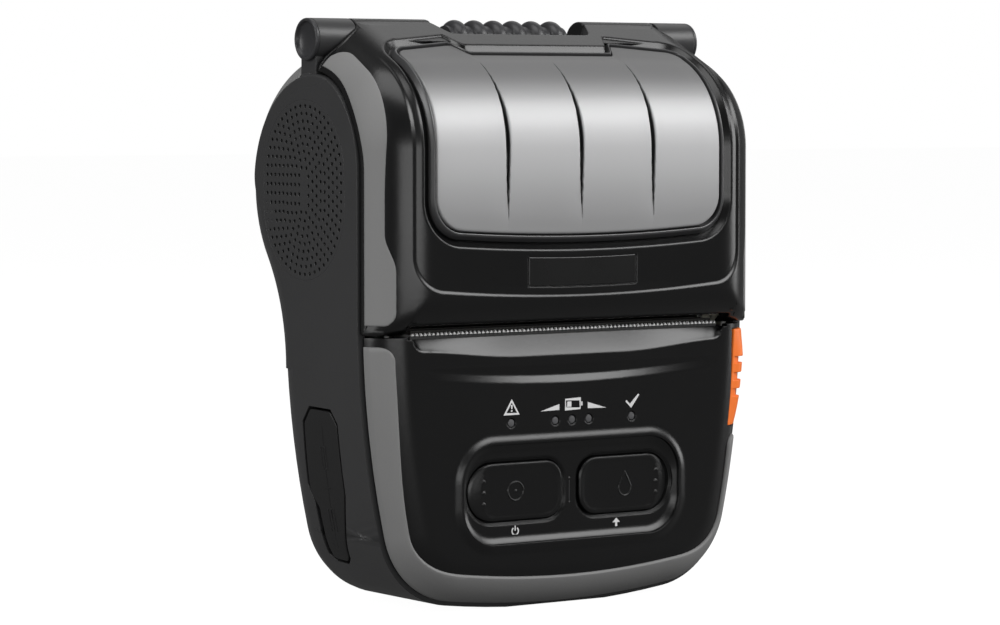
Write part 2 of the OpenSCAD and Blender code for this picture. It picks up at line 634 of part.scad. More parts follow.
module heat_sink() color([0.66, 0.67, 0.69]) difference() {
  z = platen_z - platen_r - nip - 1.1;
  box(-bucket_half + 0.6, bucket_half - 0.6, -21.4, -14.3, 58.3, z);
  for (y = [-20, -18, -16]) box(-45, 45, y, y + 1, 57, z - 1.4);
}

// Platen, its shaft, gear and bushes, carried by the cover
arm_x = 42.8;
arm_t = 1.2;
module platen_shaft() color([0.75, 0.75, 0.77]) rod(platen_c, -chassis_x - chassis_t - 0.3, chassis_x + chassis_t + 0.3, shaft_r);
module platen_rubber() color([0.14, 0.14, 0.14]) difference() {
  rod(platen_c, -bucket_half + 0.3, bucket_half - 0.3, platen_r);
  rod(platen_c, -60, 60, shaft_r);
}
module platen_gear() color([0.85, 0.85, 0.8]) difference() {
  gear(platen_c, platen_teeth, a_platen_idler + 180 / platen_teeth, shaft_r);
  rod(platen_c, -60, 60, shaft_r);
}
module platen_bushes() color([0.72, 0.6, 0.35]) both_sides() difference() {
  rod(platen_c, arm_x, arm_x + arm_t, 2.5);
  rod(platen_c, 0, 60, shaft_r + run);
}

// Cover

// Section of the cover: radius from the roof centre, and X
module cover_section(d, t) {
  r = roof_r - d;
  e = cover_edge_r - d;
  w = half_w - d;
  function outer(s) = arc([r - e, s * (w - e)], e, s * 90, 0, edge_n);
  function inner(s) = arc([r - e, s * (w - e)], e - t, 0, s * 90, edge_n);
  polygon(concat(outer(-1), [for (i = [edge_n:-1:0]) outer(1)[i]],
    [for (i = [edge_n:-1:0]) inner(1)[i]], inner(-1)));
}
// A section run up the front, over the roof and back towards the hinge
tangent_lap = 0.4;
module over_cover(z0, y1) {
  h = roof_z - z0 + tangent_lap;
  translate([0, roof_c[0], z0]) rotate([0, 0, -90]) linear_extrude(h) children();
  about_x(roof_c, 90, 180) children();
  translate([0, y1, roof_z]) rotate([90, 0, 0]) linear_extrude(y1 - roof_c[0] + tangent_lap)
    rotate([0, 0, 90]) mirror([0, 1]) children();
}
// Everything behind the seam, g nearer to the front
module behind_seam(g) {
  along_x(-60, 60) {
    polygon([[seam_y - g, 0], [40, 0], [40, side_top_c[1]], [seam_y - g, side_top_c[1]]]);
    translate(side_top_c) circle(side_top_r + g);
  }
}
module bumper_section(r_out) {
  function at(a, q) = [roof_r - cover_edge_r + q * sin(a), half_w - cover_edge_r + q * cos(a)];
  polygon(concat([for (i = [0:edge_n]) at(8 + 44 * i / edge_n, r_out)],
    [for (i = [edge_n:-1:0]) at(8 + 44 * i / edge_n, cover_edge_r - bumper_t)]));
}
module cover_bumper(r_out) difference() {
  over_cover(64.2, hinge_y) bumper_section(r_out);
  behind_seam(1.5);
  // the strip is narrower above its step
  narrow = half_w - 3.4;
  wide = half_w - 5;
  along_y(-60, 60) polygon([[wide - 8, 79], [narrow, 79], [narrow, 140], [wide - 8, 140]]);
  along_y(-60, 60) polygon([[wide - 8, 74.5], [wide, 74.5], [narrow, 79], [wide - 8, 79]]);
  rod(hinge_c, 40, 60, 10);
}
module cover_bumper_right() color([0.47, 0.47, 0.47]) cover_bumper(cover_edge_r);
module cover_bumper_left() mirror([1, 0, 0]) cover_bumper_right();

panel_depth = 0.4;
window_depth = 0.6;
window_seat = window_depth + window_t;
window_a = 72;
tab_a = 66.5;
module front_outline(x, z0, r) polygon(concat(arc([x - r, z0 + r], r, -90, 0, edge_n),
  [[x, roof_z + tangent_lap], [-x, roof_z + tangent_lap]], arc([-x + r, z0 + r], r, 180, 270, edge_n)));
// Part of the cover's wall between depths d0 and d1, inside a front outline
module cover_patch(x, z0, r, a1, d0, d1) {
  along_y(-cover_front + d0, -cover_front + d1) front_outline(x, z0, r);
  about_x(roof_c, 180 - a1, 180) polygon([[roof_r - d1, -x], [roof_r - d0, -x], [roof_r - d0, x], [roof_r - d1, x]]);
}
module knuckle_shape() polygon(concat(
  [[-13, roof_z + roof_r - 1]], [[-13, roof_z + roof_r - 0.2]],
  arc([-11, roof_z + roof_r + 8], 8, -85, -35, 5), [[-2.2, hinge_z + 3.1]],
  [for (a = [120:-20:-20]) hinge_c + barrel_r * [cos(a), sin(a)]],
  [[hinge_y, roof_z + roof_r - 2]]));
module cover_frame() color([0.1, 0.1, 0.105]) difference() {
  union() {
    difference() {
      over_cover(cover_bottom, hinge_y) cover_section(0, cover_wall);
      behind_seam(seam);
      // lip rolled in towards the slot
      difference() {
        box(-60, 60, -40, -19.2, 60, 71);
        rod([-19.2, 71], -60, 60, cover_front - 19.2);
      }
    }
    both_sides() {
      along_x(20.9, 41.6) knuckle_shape();
      // arms that carry the platen
      along_x(arm_x, arm_x + arm_t) polygon(concat(
        [[-27.4, 64.4], [-22, 63.6]], arc(platen_c, 3.6, 240, 380, 7), [[-18, 76], [-27.4, 76]]));
    }
    // inner rib across the cover above the platen
    box(-arm_x, arm_x, -27.4, -24.4, 74.6, 76);
  }
  both_sides() {
    rod(hinge_c, 41.6, 60, barrel_r + 0.6);
    box(41.6, 60, hinge_y - 3.6, 20, 100, 140);
    cover_bumper(cover_edge_r + 1);
    rod(platen_c, 30, 60, 2.5);
  }
  rod(hinge_c, -20.9, 20.9, barrel_r + 0.6);
  box(-20.9, 20.9, hinge_y - 2, 20, 100, 140);
  rod(hinge_c, -60, 60, pin_r + run);
  // slot
  box(-slot_half, slot_half, -40, -19, 50, slot_top);
  // stepped surround and window seat
  cover_patch(44.6, 70.8, 8, 78, -1, panel_depth);
  cover_patch(window_half, window_bottom, 7, window_a, -1, window_seat);
  cover_patch(window_half - 2, window_bottom + 2, 5, window_a - 5, -1, 5);
  // seat of the plate
  box(-14.9, 14.9, -40, -cover_front + panel_depth + 0.5, 71.2, 78.1);
}
module window_shape() difference() {
  cover_patch(window_half, window_bottom, 7, window_a, window_depth, window_seat);
  // the middle of the upper edge is set lower
  about_x(roof_c, 180 - window_a - 1, 180 - tab_a) polygon([[15, -21], [25, -21], [25, 21], [15, 21]]);
}
groove_x = 19.8;
groove_d = 0.5;
groove_half = 0.6;
groove_z = [86.8, 120];
module groove(x) {
  m = (groove_z[0] + groove_z[1]) / 2;
  h = groove_z[1] - m;
  r = (h * h + groove_half * groove_half) / (2 * groove_half);
  a = asin(h / r);
  intersection() {
    union() {
      box(x - 2, x + 2, -cover_front - 1, -cover_front + window_depth + groove_d, 60, roof_z + tangent_lap);
      about_x(roof_c, 110, 180) polygon([for (p = [[-1, -2], [window_depth + groove_d, -2],
        [window_depth + groove_d, 2], [-1, 2]]) [roof_r - p[0], x + p[1]]]);
    }
    along_y(-60, -7) polygon(concat(
      arc([x - r + groove_half, m], r, -a, a, 12),
      [for (i = [1:11]) [x + r - groove_half - r * cos(a - 2 * a * i / 12), m + r * sin(a - 2 * a * i / 12)]]));
  }
}
module cover_window() color([0.55, 0.56, 0.57, 0.8]) difference() {
  window_shape();
  for (x = [-groove_x, 0, groove_x]) groove(x);
}
module name_plate() color([0.12, 0.12, 0.12])
  box(-14.9, 14.9, -cover_front + panel_depth, -cover_front + panel_depth + 0.5, 71.2, 78.1);

// Paper
roll_rest = [roll_c[0], roll_c[1] - (bay_r - roll_r - gap)];
module paper_roll() color([0.93, 0.92, 0.9]) difference() {
  rod(roll_rest, -paper_w / 2, paper_w / 2, roll_r);
  rod(roll_rest, -60, 60, core_r);
}
module roll_core() color([0.6, 0.5, 0.38]) difference() {
  rod(roll_rest, -paper_w / 2, paper_w / 2, core_r);
  rod(roll_rest, -60, 60, core_bore_r);
}

// Keys, lamps and boards
module key(s) {
  key_prism(s, 0, face_y + recess - 0.6, face_y + wall + gap + 0.5);
  key_prism(s, 0.9, face_y + wall + gap, face_y + wall + gap + 1);
}
module power_key() color([0.12, 0.12, 0.125]) key(-1);
module feed_key() color([0.12, 0.12, 0.125]) key(1);
module lamp_lenses() color([0.75, 0.75, 0.72])
  for (x = lamp_x) post(x, lamp_z, face_y - 0.1, board_y - 0.8, lamp_r);
module switch_board() color([0.1, 0.35, 0.2]) difference() {
  union() {
    box(-30.5, 30.5, board_y, board_y + 1.6, 13.5, 48.5);
    for (s = [-1, 1]) {
      x = s * (key_in + key_out) / 2;
      z = (key_bottom + key_top) / 2;
      box(x - 3, x + 3, board_y - 1, board_y + eps, z - 3, z + 3);
      post(x, z, board_y - 1.3, board_y, 1.6);
    }
    for (x = lamp_x) box(x - 1.2, x + 1.2, board_y - 0.8, board_y + eps, lamp_z - 1.2, lamp_z + 1.2);
  }
  for (s = board_spots) post(s[0], s[1], board_y - 1, board_y + 4, 1);
}
module board_screws() color([0.7, 0.7, 0.72]) for (s = board_spots) {
  post(s[0], s[1], board_y - 4, board_y + 1.6 + eps, 1);
  post(s[0], s[1], board_y + 1.6, board_y + 2.8, 1.9);
}
main_y = -7.6;
module main_board() color([0.1, 0.3, 0.2]) difference() {
  union() {
    box(-42, 42, main_y, main_y + 1.6, 12, 47);
    box(-14, 2, main_y - 1.2, main_y + eps, 24, 40);
    box(12, 22, main_y - 1, main_y + eps, 30, 38);
    box(8, 24, main_y - 4, main_y + eps, 15, 20);
    for (x = [-27, -21]) post(x, 18, main_y - 7, main_y + eps, 2.5);
  }
  both_sides() for (s = screw_spots) post(s[0], s[1], main_y - 1, main_y + 3, 3.4 + gap);
}
socket_y = -socket_front;
module power_jack() color([0.08, 0.08, 0.08]) difference() {
  box(-48, -36, main_y + 1.6, socket_y + 4.5, power_z - 4.5, power_z + 4.5);
  rod([socket_y, power_z], -50, -38, 3.2);
}
module data_socket() color([0.7, 0.7, 0.72]) difference() {
  box(-43.8, -38.7, main_y + 1.6, socket_y + 2.4, data_z - 4.2, data_z + 4.2);
  box(-46, -40, socket_y - 1.4, socket_y + 1.4, data_z - 3.4, data_z + 3.4);
}
module battery_contacts() color([0.8, 0.65, 0.3]) for (x = [-9, -3, 3, 9])
  box(x - 1, x + 1, main_y + 1.6, bay_c - 1.4, 27, 31);

// Battery pack and its latch
module battery_pack() color([0.13, 0.13, 0.135]) difference() {
  along_y(back_face - battery_t, back_face)
    polygon(round_rect(-battery_half, battery_half, battery_bottom, battery_top, 2));
  // finger recess along the upper edge
  translate([0, back_face + 5, battery_top - 9]) rotate([0, 90, 0]) cylinder(h = 22, r = 6.5, center = true);
  for (x = [-9, -3, 3, 9]) box(x - 1.3, x + 1.3, bay_c, bay_c + 0.9, 26, 32);
}
module battery_latch() color([0.16, 0.16, 0.17]) union() {
  box(-8, 8, back_face - 1.9, back_face - 0.2, battery_top + gap, battery_top + 3.2);
  for (z = [0.9, 1.7, 2.5]) box(-6, 6, back_face - 0.3, back_face + 0.3, battery_top + z - 0.2, battery_top + z + 0.2);
}

// Release button on the right, and the lever that it works
module release_band(z0, z1, d, t) about_y(side_c, turn_at(z0), turn_at(z1))
  polygon(skin(crown_r, -panel_front, seam_y - gap - release_travel, panel_edge_r, 0, d, t, 12));
module release_button() color([0.95, 0.45, 0.1]) difference() {
  release_band(release_bottom, release_top, -0.5, 2.1);
  box(0, release_x, -40, 0, 30, 70);
  for (z = [45.6, 49.3, 53]) release_band(z - 0.9, z + 0.9, -2, 2);
}
module release_spring() color([0.75, 0.75, 0.77])
  translate([46.6, -18, 51]) rotate([90, 0, 0]) coil(1.1, 0.2, 2.6, 4);
// Rubber flap over the sockets
module port_cover() color([0.15, 0.15, 0.155]) intersection() {
  mirror([1, 0, 0]) along_y(seam_y + 1, back_face - back_edge_r - 0.1) polygon(concat(
    [for (q = half_stations(turn_at(52))) q[0]],
    [let (h = half_stations(turn_at(52))) for (i = [len(h) - 1:-1:0]) h[i][0] + 1.6 * h[i][1]]));
  port_hole(0);
}
module shell_screws() color([0.5, 0.5, 0.52]) both_sides() for (s = screw_spots) {
  post(s[0], s[1], -15.5, back_face - 2.2 + eps, 1.4);
  difference() {
    post(s[0], s[1], back_face - 2.2, back_face - 0.8, 2.6);
    post(s[0], s[1], back_face - 1.6, back_face, 1.2, $fn = 6);
  }
}

rear_shell();
left_grille();
rear_bumper_left();
rear_bumper_right();
hinge_pin();
hinge_caps();
ribbed_knuckle();
front_panel();
lower_bumper();
tear_bar();
paper_bucket();
print_chassis();
head_springs();
idler_axle();
stepper_motor();
switch_board();
lamp_lenses();
main_board();
power_jack();
data_socket();
battery_contacts();
shell_screws();
board_screws();
release_spring();
cover_frame();
cover_window();
cover_bumper_left();
cover_bumper_right();
name_plate();
platen_bushes();
platen_shaft();
platen_rubber();
platen_gear();
idler_gear();
motor_pinion();
paper_roll();
roll_core();
print_head();
heat_sink();
power_key();
feed_key();
release_button();
port_cover();
battery_pack();
battery_latch();
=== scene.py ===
"""Looks of the portable receipt printer: shells, smoked window, bumpers, keys and mechanism."""
import math

import bmesh
import bpy
import numpy as np
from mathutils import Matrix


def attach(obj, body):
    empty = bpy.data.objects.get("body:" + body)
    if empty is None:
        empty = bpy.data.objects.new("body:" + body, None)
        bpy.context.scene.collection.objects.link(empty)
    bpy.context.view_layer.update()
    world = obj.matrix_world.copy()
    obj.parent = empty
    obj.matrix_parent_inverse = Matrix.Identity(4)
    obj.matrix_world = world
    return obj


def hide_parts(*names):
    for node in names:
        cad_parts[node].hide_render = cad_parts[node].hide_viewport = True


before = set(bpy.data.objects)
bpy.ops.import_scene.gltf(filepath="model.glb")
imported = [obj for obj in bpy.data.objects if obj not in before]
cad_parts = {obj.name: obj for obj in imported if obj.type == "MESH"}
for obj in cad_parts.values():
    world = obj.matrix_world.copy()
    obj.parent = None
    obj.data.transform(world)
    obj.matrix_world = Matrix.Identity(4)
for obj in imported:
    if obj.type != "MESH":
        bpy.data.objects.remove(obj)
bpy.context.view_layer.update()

# Camera, lights and floor
# The camera stands 35 degrees to the left of the front and 3.3 degrees up, with a long lens.
# Floor and world are plain white to the camera, and glossy rays see a share of that white.
# Soft lamps stand in front, over, beside and behind, for the gloss on the black plastic.


def placed(name, data):
    """A new object in the scene, at the origin."""
    obj = bpy.data.objects.new(name, data)
    bpy.context.scene.collection.objects.link(obj)
    return obj


camera = placed("camera", bpy.data.cameras.new("camera"))
camera.location = (-0.47740, -0.67857, 0.11193)
camera.rotation_euler = (math.radians(86.7), 0, math.radians(-35))
camera.data.sensor_width = 36
camera.data.lens = 131.76
camera.data.clip_start = 0.01
bpy.context.scene.camera = camera
bpy.context.scene.view_settings.view_transform = "Standard"


def softbox(name, place, target, size, power):
    """A rectangular studio lamp at place that faces target, both in metres."""
    lamp = bpy.data.lights.new(name, "AREA")
    lamp.shape, lamp.size, lamp.size_y = "RECTANGLE", size[0], size[1]
    lamp.energy = power
    obj = placed(name, lamp)
    way = np.array(target, float) - np.array(place, float)
    flat = math.hypot(way[0], way[1])
    obj.location = place
    obj.rotation_euler = (math.atan2(flat, -way[2]), 0, math.atan2(-way[0], way[1]))


softbox("lamp_key", (0.60, -0.80, 0.78), (0, 0, 0.08), (0.95, 0.5), 13.0)
softbox("lamp_over", (-0.30, -0.2, 1.15), (0, 0, 0.09), (0.9, 0.7), 7.0)
softbox("lamp_left", (-1.15, -0.05, 0.40), (0, 0, 0.07), (0.35, 0.9), 9.0)
softbox("lamp_low", (-0.35, -1.05, 0.06), (0, 0, 0.03), (0.9, 0.25), 4.0)
softbox("lamp_right", (1.1, -0.30, 0.30), (0, 0, 0.07), (0.3, 0.8), 4.0)
softbox("lamp_behind", (0.62, 0.50, 0.88), (0, 0, 0.1), (0.8, 0.6), 1.3)


def feed(tree, node, inputs):
    """Gives a node's inputs their values, or the outputs that feed them."""
    for key, value in inputs.items():
        if isinstance(value, bpy.types.NodeSocket):
            tree.links.new(value, node.inputs[key])
        else:
            node.inputs[key].default_value = value


def new_node(tree, kind, inputs=None, **settings):
    """A new node in a tree, with its settings and with what its inputs are fed."""
    node = tree.nodes.new(kind)
    for key, value in settings.items():
        setattr(node, key, value)
    feed(tree, node, inputs or {})
    return node


def white_to_camera(tree, kind, lit, white, gloss_share=0.12):
    """Ends a tree in a mix: plain white for camera and transmission rays, a share of it for
    glossy rays, and the lit shader for the others."""
    rays = new_node(tree, "ShaderNodeLightPath").outputs
    gloss = new_node(tree, "ShaderNodeMath", {0: rays["Is Glossy Ray"], 1: gloss_share,
                                              2: rays["Is Transmission Ray"]}, operation="MULTIPLY_ADD")
    seen = new_node(tree, "ShaderNodeMath", {0: rays["Is Camera Ray"], 1: gloss.outputs[0]},
                    operation="ADD", use_clamp=True)
    mix = new_node(tree, "ShaderNodeMixShader", {"Fac": seen.outputs[0], 1: lit.outputs[0],
                                                 2: white.outputs[0]})
    new_node(tree, kind, {"Surface": mix.outputs[0]})


def node_tree_of(owner):
    """The empty node tree of a world or a material."""
    owner.use_nodes = True
    owner.node_tree.nodes.clear()
    return owner.node_tree


world = bpy.data.worlds.new("studio")
bpy.context.scene.world = world
sky = node_tree_of(world)
room = new_node(sky, "ShaderNodeBackground", {"Color": (1, 1, 1, 1), "Strength": 0.07})
backdrop = new_node(sky, "ShaderNodeBackground", {"Color": (1, 1, 1, 1), "Strength": 1.0})
white_to_camera(sky, "ShaderNodeOutputWorld", room, backdrop)

floor_mesh = bpy.data.meshes.new("floor")
floor_mesh.from_pydata([(-6, -6, 0), (6, -6, 0), (6, 6, 0), (-6, 6, 0)], [], [(0, 1, 2, 3)])
floor_paper = bpy.data.materials.new("floor_paper")
paper = node_tree_of(floor_paper)
paper_lit = new_node(paper, "ShaderNodeBsdfDiffuse", {"Color": (0.9, 0.9, 0.9, 1)})
paper_glow = new_node(paper, "ShaderNodeEmission", {"Strength": 1.09})
paper_seen = new_node(paper, "ShaderNodeMixShader", {"Fac": 0.9, 1: paper_lit.outputs[0],
                                                     2: paper_glow.outputs[0]})
paper_dim = new_node(paper, "ShaderNodeBsdfDiffuse", {"Color": (0.12, 0.12, 0.12, 1)})
white_to_camera(paper, "ShaderNodeOutputMaterial", paper_dim, paper_seen)
floor_mesh.materials.append(floor_paper)
floor = placed("floor", floor_mesh)

# Housing: charcoal back shell, grille insert, hinge, sockets and the print mechanism
# The back shell is one moulding in satin charcoal ABS, with a fine sparked grain from the tool.
# It keeps its CAD surfaces, with faces joined and shaded smooth and corners softened in the finish.


def finish(name, colour, rough, grain=0.012, pitch=900, spread=0.06, level=0.35, metal=0.0,
           edge=0.0002, mottle=0.12):
    """A moulded or metal finish: a fine grain in the bump, slow clouds in colour and roughness.
    The grain is noise of that pitch per metre, and edge is the radius that softens corners."""
    material = bpy.data.materials.new(name)
    material.use_nodes = True
    tree = material.node_tree
    where = new_node(tree, "ShaderNodeTexCoord").outputs["Object"]
    cloud = new_node(tree, "ShaderNodeTexNoise", {"Vector": where, "Scale": 38, "Detail": 4}).outputs["Fac"]
    darker = (*[c * (1 - mottle) for c in colour], 1)
    lighter = (*[min(c * (1 + mottle), 1) for c in colour], 1)
    tone = new_node(tree, "ShaderNodeMix", data_type="RGBA")
    feed(tree, tone, {"Factor": cloud, "A": darker, "B": lighter})
    sheen = new_node(tree, "ShaderNodeMapRange", {"Value": cloud, "To Min": rough - spread,
                                                  "To Max": rough + spread})
    speck = new_node(tree, "ShaderNodeTexNoise", {"Vector": where, "Scale": pitch, "Detail": 2})
    bump = new_node(tree, "ShaderNodeBump", {"Height": speck.outputs["Fac"], "Strength": 1.0,
                                             "Distance": grain * 0.001})
    if edge:
        soft = new_node(tree, "ShaderNodeBevel", {"Radius": edge}, samples=4)
        feed(tree, bump, {"Normal": soft.outputs["Normal"]})
    feed(tree, tree.nodes["Principled BSDF"],
         {"Base Color": tone.outputs["Result"], "Roughness": sheen.outputs["Result"],
          "Normal": bump.outputs["Normal"], "Metallic": metal, "Specular IOR Level": level})
    return material


def welded(limit):
    """Geometry nodes that join a CAD node's loose triangles and smooth them up to an edge angle."""
    group = bpy.data.node_groups.new("welded", "GeometryNodeTree")
    for way in ("INPUT", "OUTPUT"):
        group.interface.new_socket("Geometry", in_out=way, socket_type="NodeSocketGeometry")
    start = new_node(group, "NodeGroupInput")
    merge = new_node(group, "GeometryNodeMergeByDistance", {"Geometry": start.outputs[0],
                                                            "Distance": 2e-6})
    smooth = new_node(group, "GeometryNodeSetShadeSmooth", {"Geometry": merge.outputs[0]}, domain="FACE")
    turn = new_node(group, "GeometryNodeInputMeshEdgeAngle")
    over = new_node(group, "FunctionNodeCompare", operation="GREATER_THAN")
    feed(group, over, {"A": turn.outputs["Unsigned Angle"], "B": math.radians(limit)})
    crisp = new_node(group, "GeometryNodeSetShadeSmooth", {"Shade Smooth": False}, domain="EDGE")
    feed(group, crisp, {"Geometry": smooth.outputs[0], "Selection": over.outputs["Result"]})
    new_node(group, "NodeGroupOutput", {0: crisp.outputs[0]})
    return group


weld_nodes = welded(32)


def dress(material, *names):
    """Gives CAD nodes their finish, and joins and smooths their faces."""
    for name in names:
        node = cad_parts[name]
        node.data.materials.clear()
        node.data.materials.append(material)
        weld = node.modifiers.new("weld", "NODES")
        weld.node_group = weld_nodes
        even = node.modifiers.new("even", "WEIGHTED_NORMAL")
        even.keep_sharp = True


charcoal = finish("charcoal_abs", (0.027, 0.027, 0.0277), 0.4, spread=0.04, level=0.38, edge=0.00035)
dress(charcoal, "rear_shell", "left_grille")
cap_plastic = finish("cap_plastic", (0.026, 0.026, 0.028), 0.36, level=0.3, edge=0.0003)
dress(cap_plastic, "ribbed_knuckle")
steel = finish("bright_steel", (0.62, 0.62, 0.61), 0.32, grain=0.004, level=0.5, metal=1.0)
dress(steel, "hinge_pin", "head_springs", "idler_axle", "platen_shaft", "release_spring",
      "board_screws", "shell_screws", "print_chassis", "data_socket")


def painted_shade_below(material, height, low):
    """Paints shade into a finish: the colour low under a height, by Object Z in metres."""
    tree = material.node_tree
    shader = tree.nodes["Principled BSDF"]
    tone = shader.inputs["Base Color"].links[0].from_socket
    place = new_node(tree, "ShaderNodeTexCoord").outputs["Object"]
    axes = new_node(tree, "ShaderNodeSeparateXYZ", {0: place})
    over = new_node(tree, "ShaderNodeMath", {0: axes.outputs["Z"], 1: height}, operation="GREATER_THAN")
    mix = new_node(tree, "ShaderNodeMix", data_type="RGBA")
    feed(tree, mix, {"Factor": over.outputs[0], "A": (*low, 1), "B": tone})
    feed(tree, shader, {"Base Color": mix.outputs["Result"]})
    return material


# The tear bar is bright steel. Below 61.4 mm, about the panel's top and down in the slot, its colour is
# painted near black as the slot's shade, so only the teeth's tips stay bright.
teeth = finish("ground_teeth", (0.95, 0.95, 0.94), 0.35, grain=0.004, level=0.9, mottle=0.02, edge=0)
dress(painted_shade_below(teeth, 0.0614, (0.008, 0.008, 0.008)), "tear_bar")
dress(finish("inner_abs", (0.018, 0.018, 0.019), 0.55, level=0.3),
      "paper_bucket", "power_jack", "battery_pack", "battery_latch")
dress(finish("roller_rubber", (0.02, 0.02, 0.02), 0.7, grain=0.02, level=0.3, edge=0),
      "platen_rubber")
dress(finish("gear_acetal", (0.62, 0.6, 0.52), 0.45, level=0.4, edge=0.0001),
      "platen_gear", "idler_gear")
dress(finish("brass", (0.62, 0.42, 0.15), 0.35, metal=1.0, edge=0.0001),
      "motor_pinion", "platen_bushes", "battery_contacts")
dress(finish("motor_can", (0.42, 0.42, 0.43), 0.4, metal=1.0), "stepper_motor", "heat_sink")
dress(finish("head_ceramic", (0.03, 0.029, 0.027), 0.3, edge=0.0001), "print_head")
dress(finish("solder_mask", (0.01, 0.09, 0.035), 0.35, level=0.5, edge=0),
      "switch_board", "main_board")
dress(finish("receipt_paper", (0.86, 0.85, 0.83), 0.75, grain=0.01, level=0.2, edge=0, mottle=0.02),
      "paper_roll")
dress(finish("core_board", (0.34, 0.25, 0.15), 0.8, grain=0.03, level=0.2, edge=0), "roll_core")

# Paper cover: the black frame
# One gloss-black ABS moulding runs from the paper slot up the front and over the roof.
# A soft step frames its face, and a V-shaped channel rings the seat of the window.
black = finish("black_abs", (0.002, 0.002, 0.0021), 0.26, spread=0.03, level=0.35, edge=0.0003)
cover_half, cover_round, cover_front = 52.6, 14.0, 29.2
nose_y, nose_z, nose_r = -19.2, 71, 10
shell_y, shell_z, shell_r = 3.4, 97, 21.8
roof_r, roof_y, roof_z = 22.2, -7.0, 101.5
hinge_y, hinge_z, barrel_r = 2.4, 125.5, 4.7
# The roof's arc runs out on the line that touches it and the hinge barrel.
roof_tilt = math.radians(25.85)
roof_end = roof_z + roof_r * (math.pi / 2 - roof_tilt)


def ease(low, high, value):
    """A smooth step from 0 to 1 as value goes from low to high: 3 t^2 - 2 t^3 of the share t."""
    t = np.clip((np.asarray(value, float) - low) / (high - low), 0, 1)
    return t * t * (3 - 2 * t)


def roof_line(s):
    """The cover's middle section: its Y, its Z and the direction outwards at length s.
    s is the height, then the length along the roof's arc and up the straight line behind it."""
    lean = np.clip((s - roof_z) / roof_r, 0, math.pi / 2 - roof_tilt)
    on = np.clip(s - roof_end, 0, None)
    y = roof_y - roof_r * np.cos(lean) + on * math.cos(roof_tilt)
    z = np.minimum(s, roof_z) + roof_r * np.sin(lean) + on * math.sin(roof_tilt)
    return y, z, -np.cos(lean), np.sin(lean)


def on_cover(u, s, depth):
    """Point at u across and s up the cover, depth below its skin, in mm.
    Past the flat face u runs along the rounded edge, whose radius is less by the depth.
    Below nose_z the skin is the softened maximum of that and of the lower edge's arc."""
    flat = cover_half - cover_round
    turn = np.clip(np.abs(u) - flat, 0, None) / cover_round
    x = np.sign(u) * (np.minimum(np.abs(u), flat) + (cover_round - depth) * np.sin(turn))
    sink = cover_round - (cover_round - depth) * np.cos(turn)
    y, z, out_y, out_z = roof_line(s)
    y, z = y - sink * out_y, z - sink * out_z
    nose = nose_y - np.sqrt(np.clip(nose_r ** 2 - (nose_z - z) ** 2, 0.1, None)) + depth
    soft = 0.3 * np.clip((nose_z - z) / 3, 0, 1)
    rolled = (y + nose + np.sqrt((y - nose) ** 2 + soft ** 2)) / 2
    return np.stack([x, np.where(z < nose_z, rolled, y), z], -1)


def seam_u(s, clear=0.3):
    """Where the skin meets the back shell's edge, which is upright, and above shell_z a circle."""
    y, z, out_y, out_z = roof_line(s)
    along = (y - shell_y) * out_y + (z - shell_z) * out_z
    reach = along ** 2 - (y - shell_y) ** 2 - (z - shell_z) ** 2 + (shell_r + clear) ** 2
    upright = cover_front + shell_y - shell_r - clear
    sink = np.where(s <= shell_z, upright, along - np.sqrt(np.clip(reach, 0, None)))
    return cover_half - cover_round + cover_round * np.arccos(1 - sink / cover_round)


def quads(rows, cols, start=0, wrap_rows=False, wrap_cols=False):
    """Four-sided faces over a grid of points stored row by row; a wrapped way closes on itself."""
    i, j = np.meshgrid(np.arange(rows if wrap_rows else rows - 1),
                       np.arange(cols if wrap_cols else cols - 1), indexing="ij")
    k, m = (i + 1) % rows, (j + 1) % cols
    corners = [i * cols + j, i * cols + m, k * cols + m, k * cols + j]
    return (start + np.stack(corners, -1)).reshape(-1, 4)


def ring_stack(rings, closed=True):
    """A part from rings of points, each joined to the next, and the last to the first if closed."""
    grid = np.stack(rings)
    return grid.reshape(-1, 3), quads(grid.shape[0], grid.shape[1], 0, closed, True).tolist()


def capped(rings):
    """A part from rings of points, each joined to the next, with a flat face over both ends."""
    points, faces = ring_stack(rings, False)
    n, count = len(rings[0]), len(points)
    return points, faces + [list(range(n)), list(range(count - n, count))[::-1]]


def slab(top, bottom):
    """A closed part from two grids of the same size, joined all round their borders."""
    rows, cols = top.shape[:2]
    rim = np.concatenate([np.arange(cols), np.arange(1, rows) * cols + cols - 1,
                          (rows - 1) * cols + np.arange(cols - 2, -1, -1),
                          np.arange(rows - 2, 0, -1) * cols])
    after, lower = np.roll(rim, -1), rows * cols
    side = np.stack([rim, after, after + lower, rim + lower], -1)
    faces = np.concatenate([quads(rows, cols), quads(rows, cols, lower)[:, ::-1], side[:, ::-1]])
    return np.concatenate([top.reshape(-1, 3), bottom.reshape(-1, 3)]), faces.tolist()


def inset(outline, amount):
    """The outline moved to its left by amount, square to itself at every point."""
    way = np.roll(outline, -1, 0) - np.roll(outline, 1, 0)
    way /= np.linalg.norm(way, axis=1)[:, None]
    return outline + amount * np.stack([-way[:, 1], way[:, 0]], -1)


def bar(section, ends, soft):
    """A closed part from a drawing in Y and Z, carried from ends[0] to ends[1] along X.
    Near each end it shrinks along a quarter circle, which rounds the end's edge."""
    y, z = section.T
    inwards = np.sign(np.sum(y * np.roll(z, -1) - z * np.roll(y, -1)))
    turns = np.linspace(0, math.pi / 2, 5)
    steps = [(ends[0] + soft * (1 - math.sin(a)), soft * (1 - math.cos(a))) for a in turns[::-1]]
    steps += [(ends[1] - soft * (1 - math.sin(a)), soft * (1 - math.cos(a))) for a in turns]
    return capped([np.column_stack([np.full(len(section), x), inset(section, less * inwards)])
                   for x, less in steps])


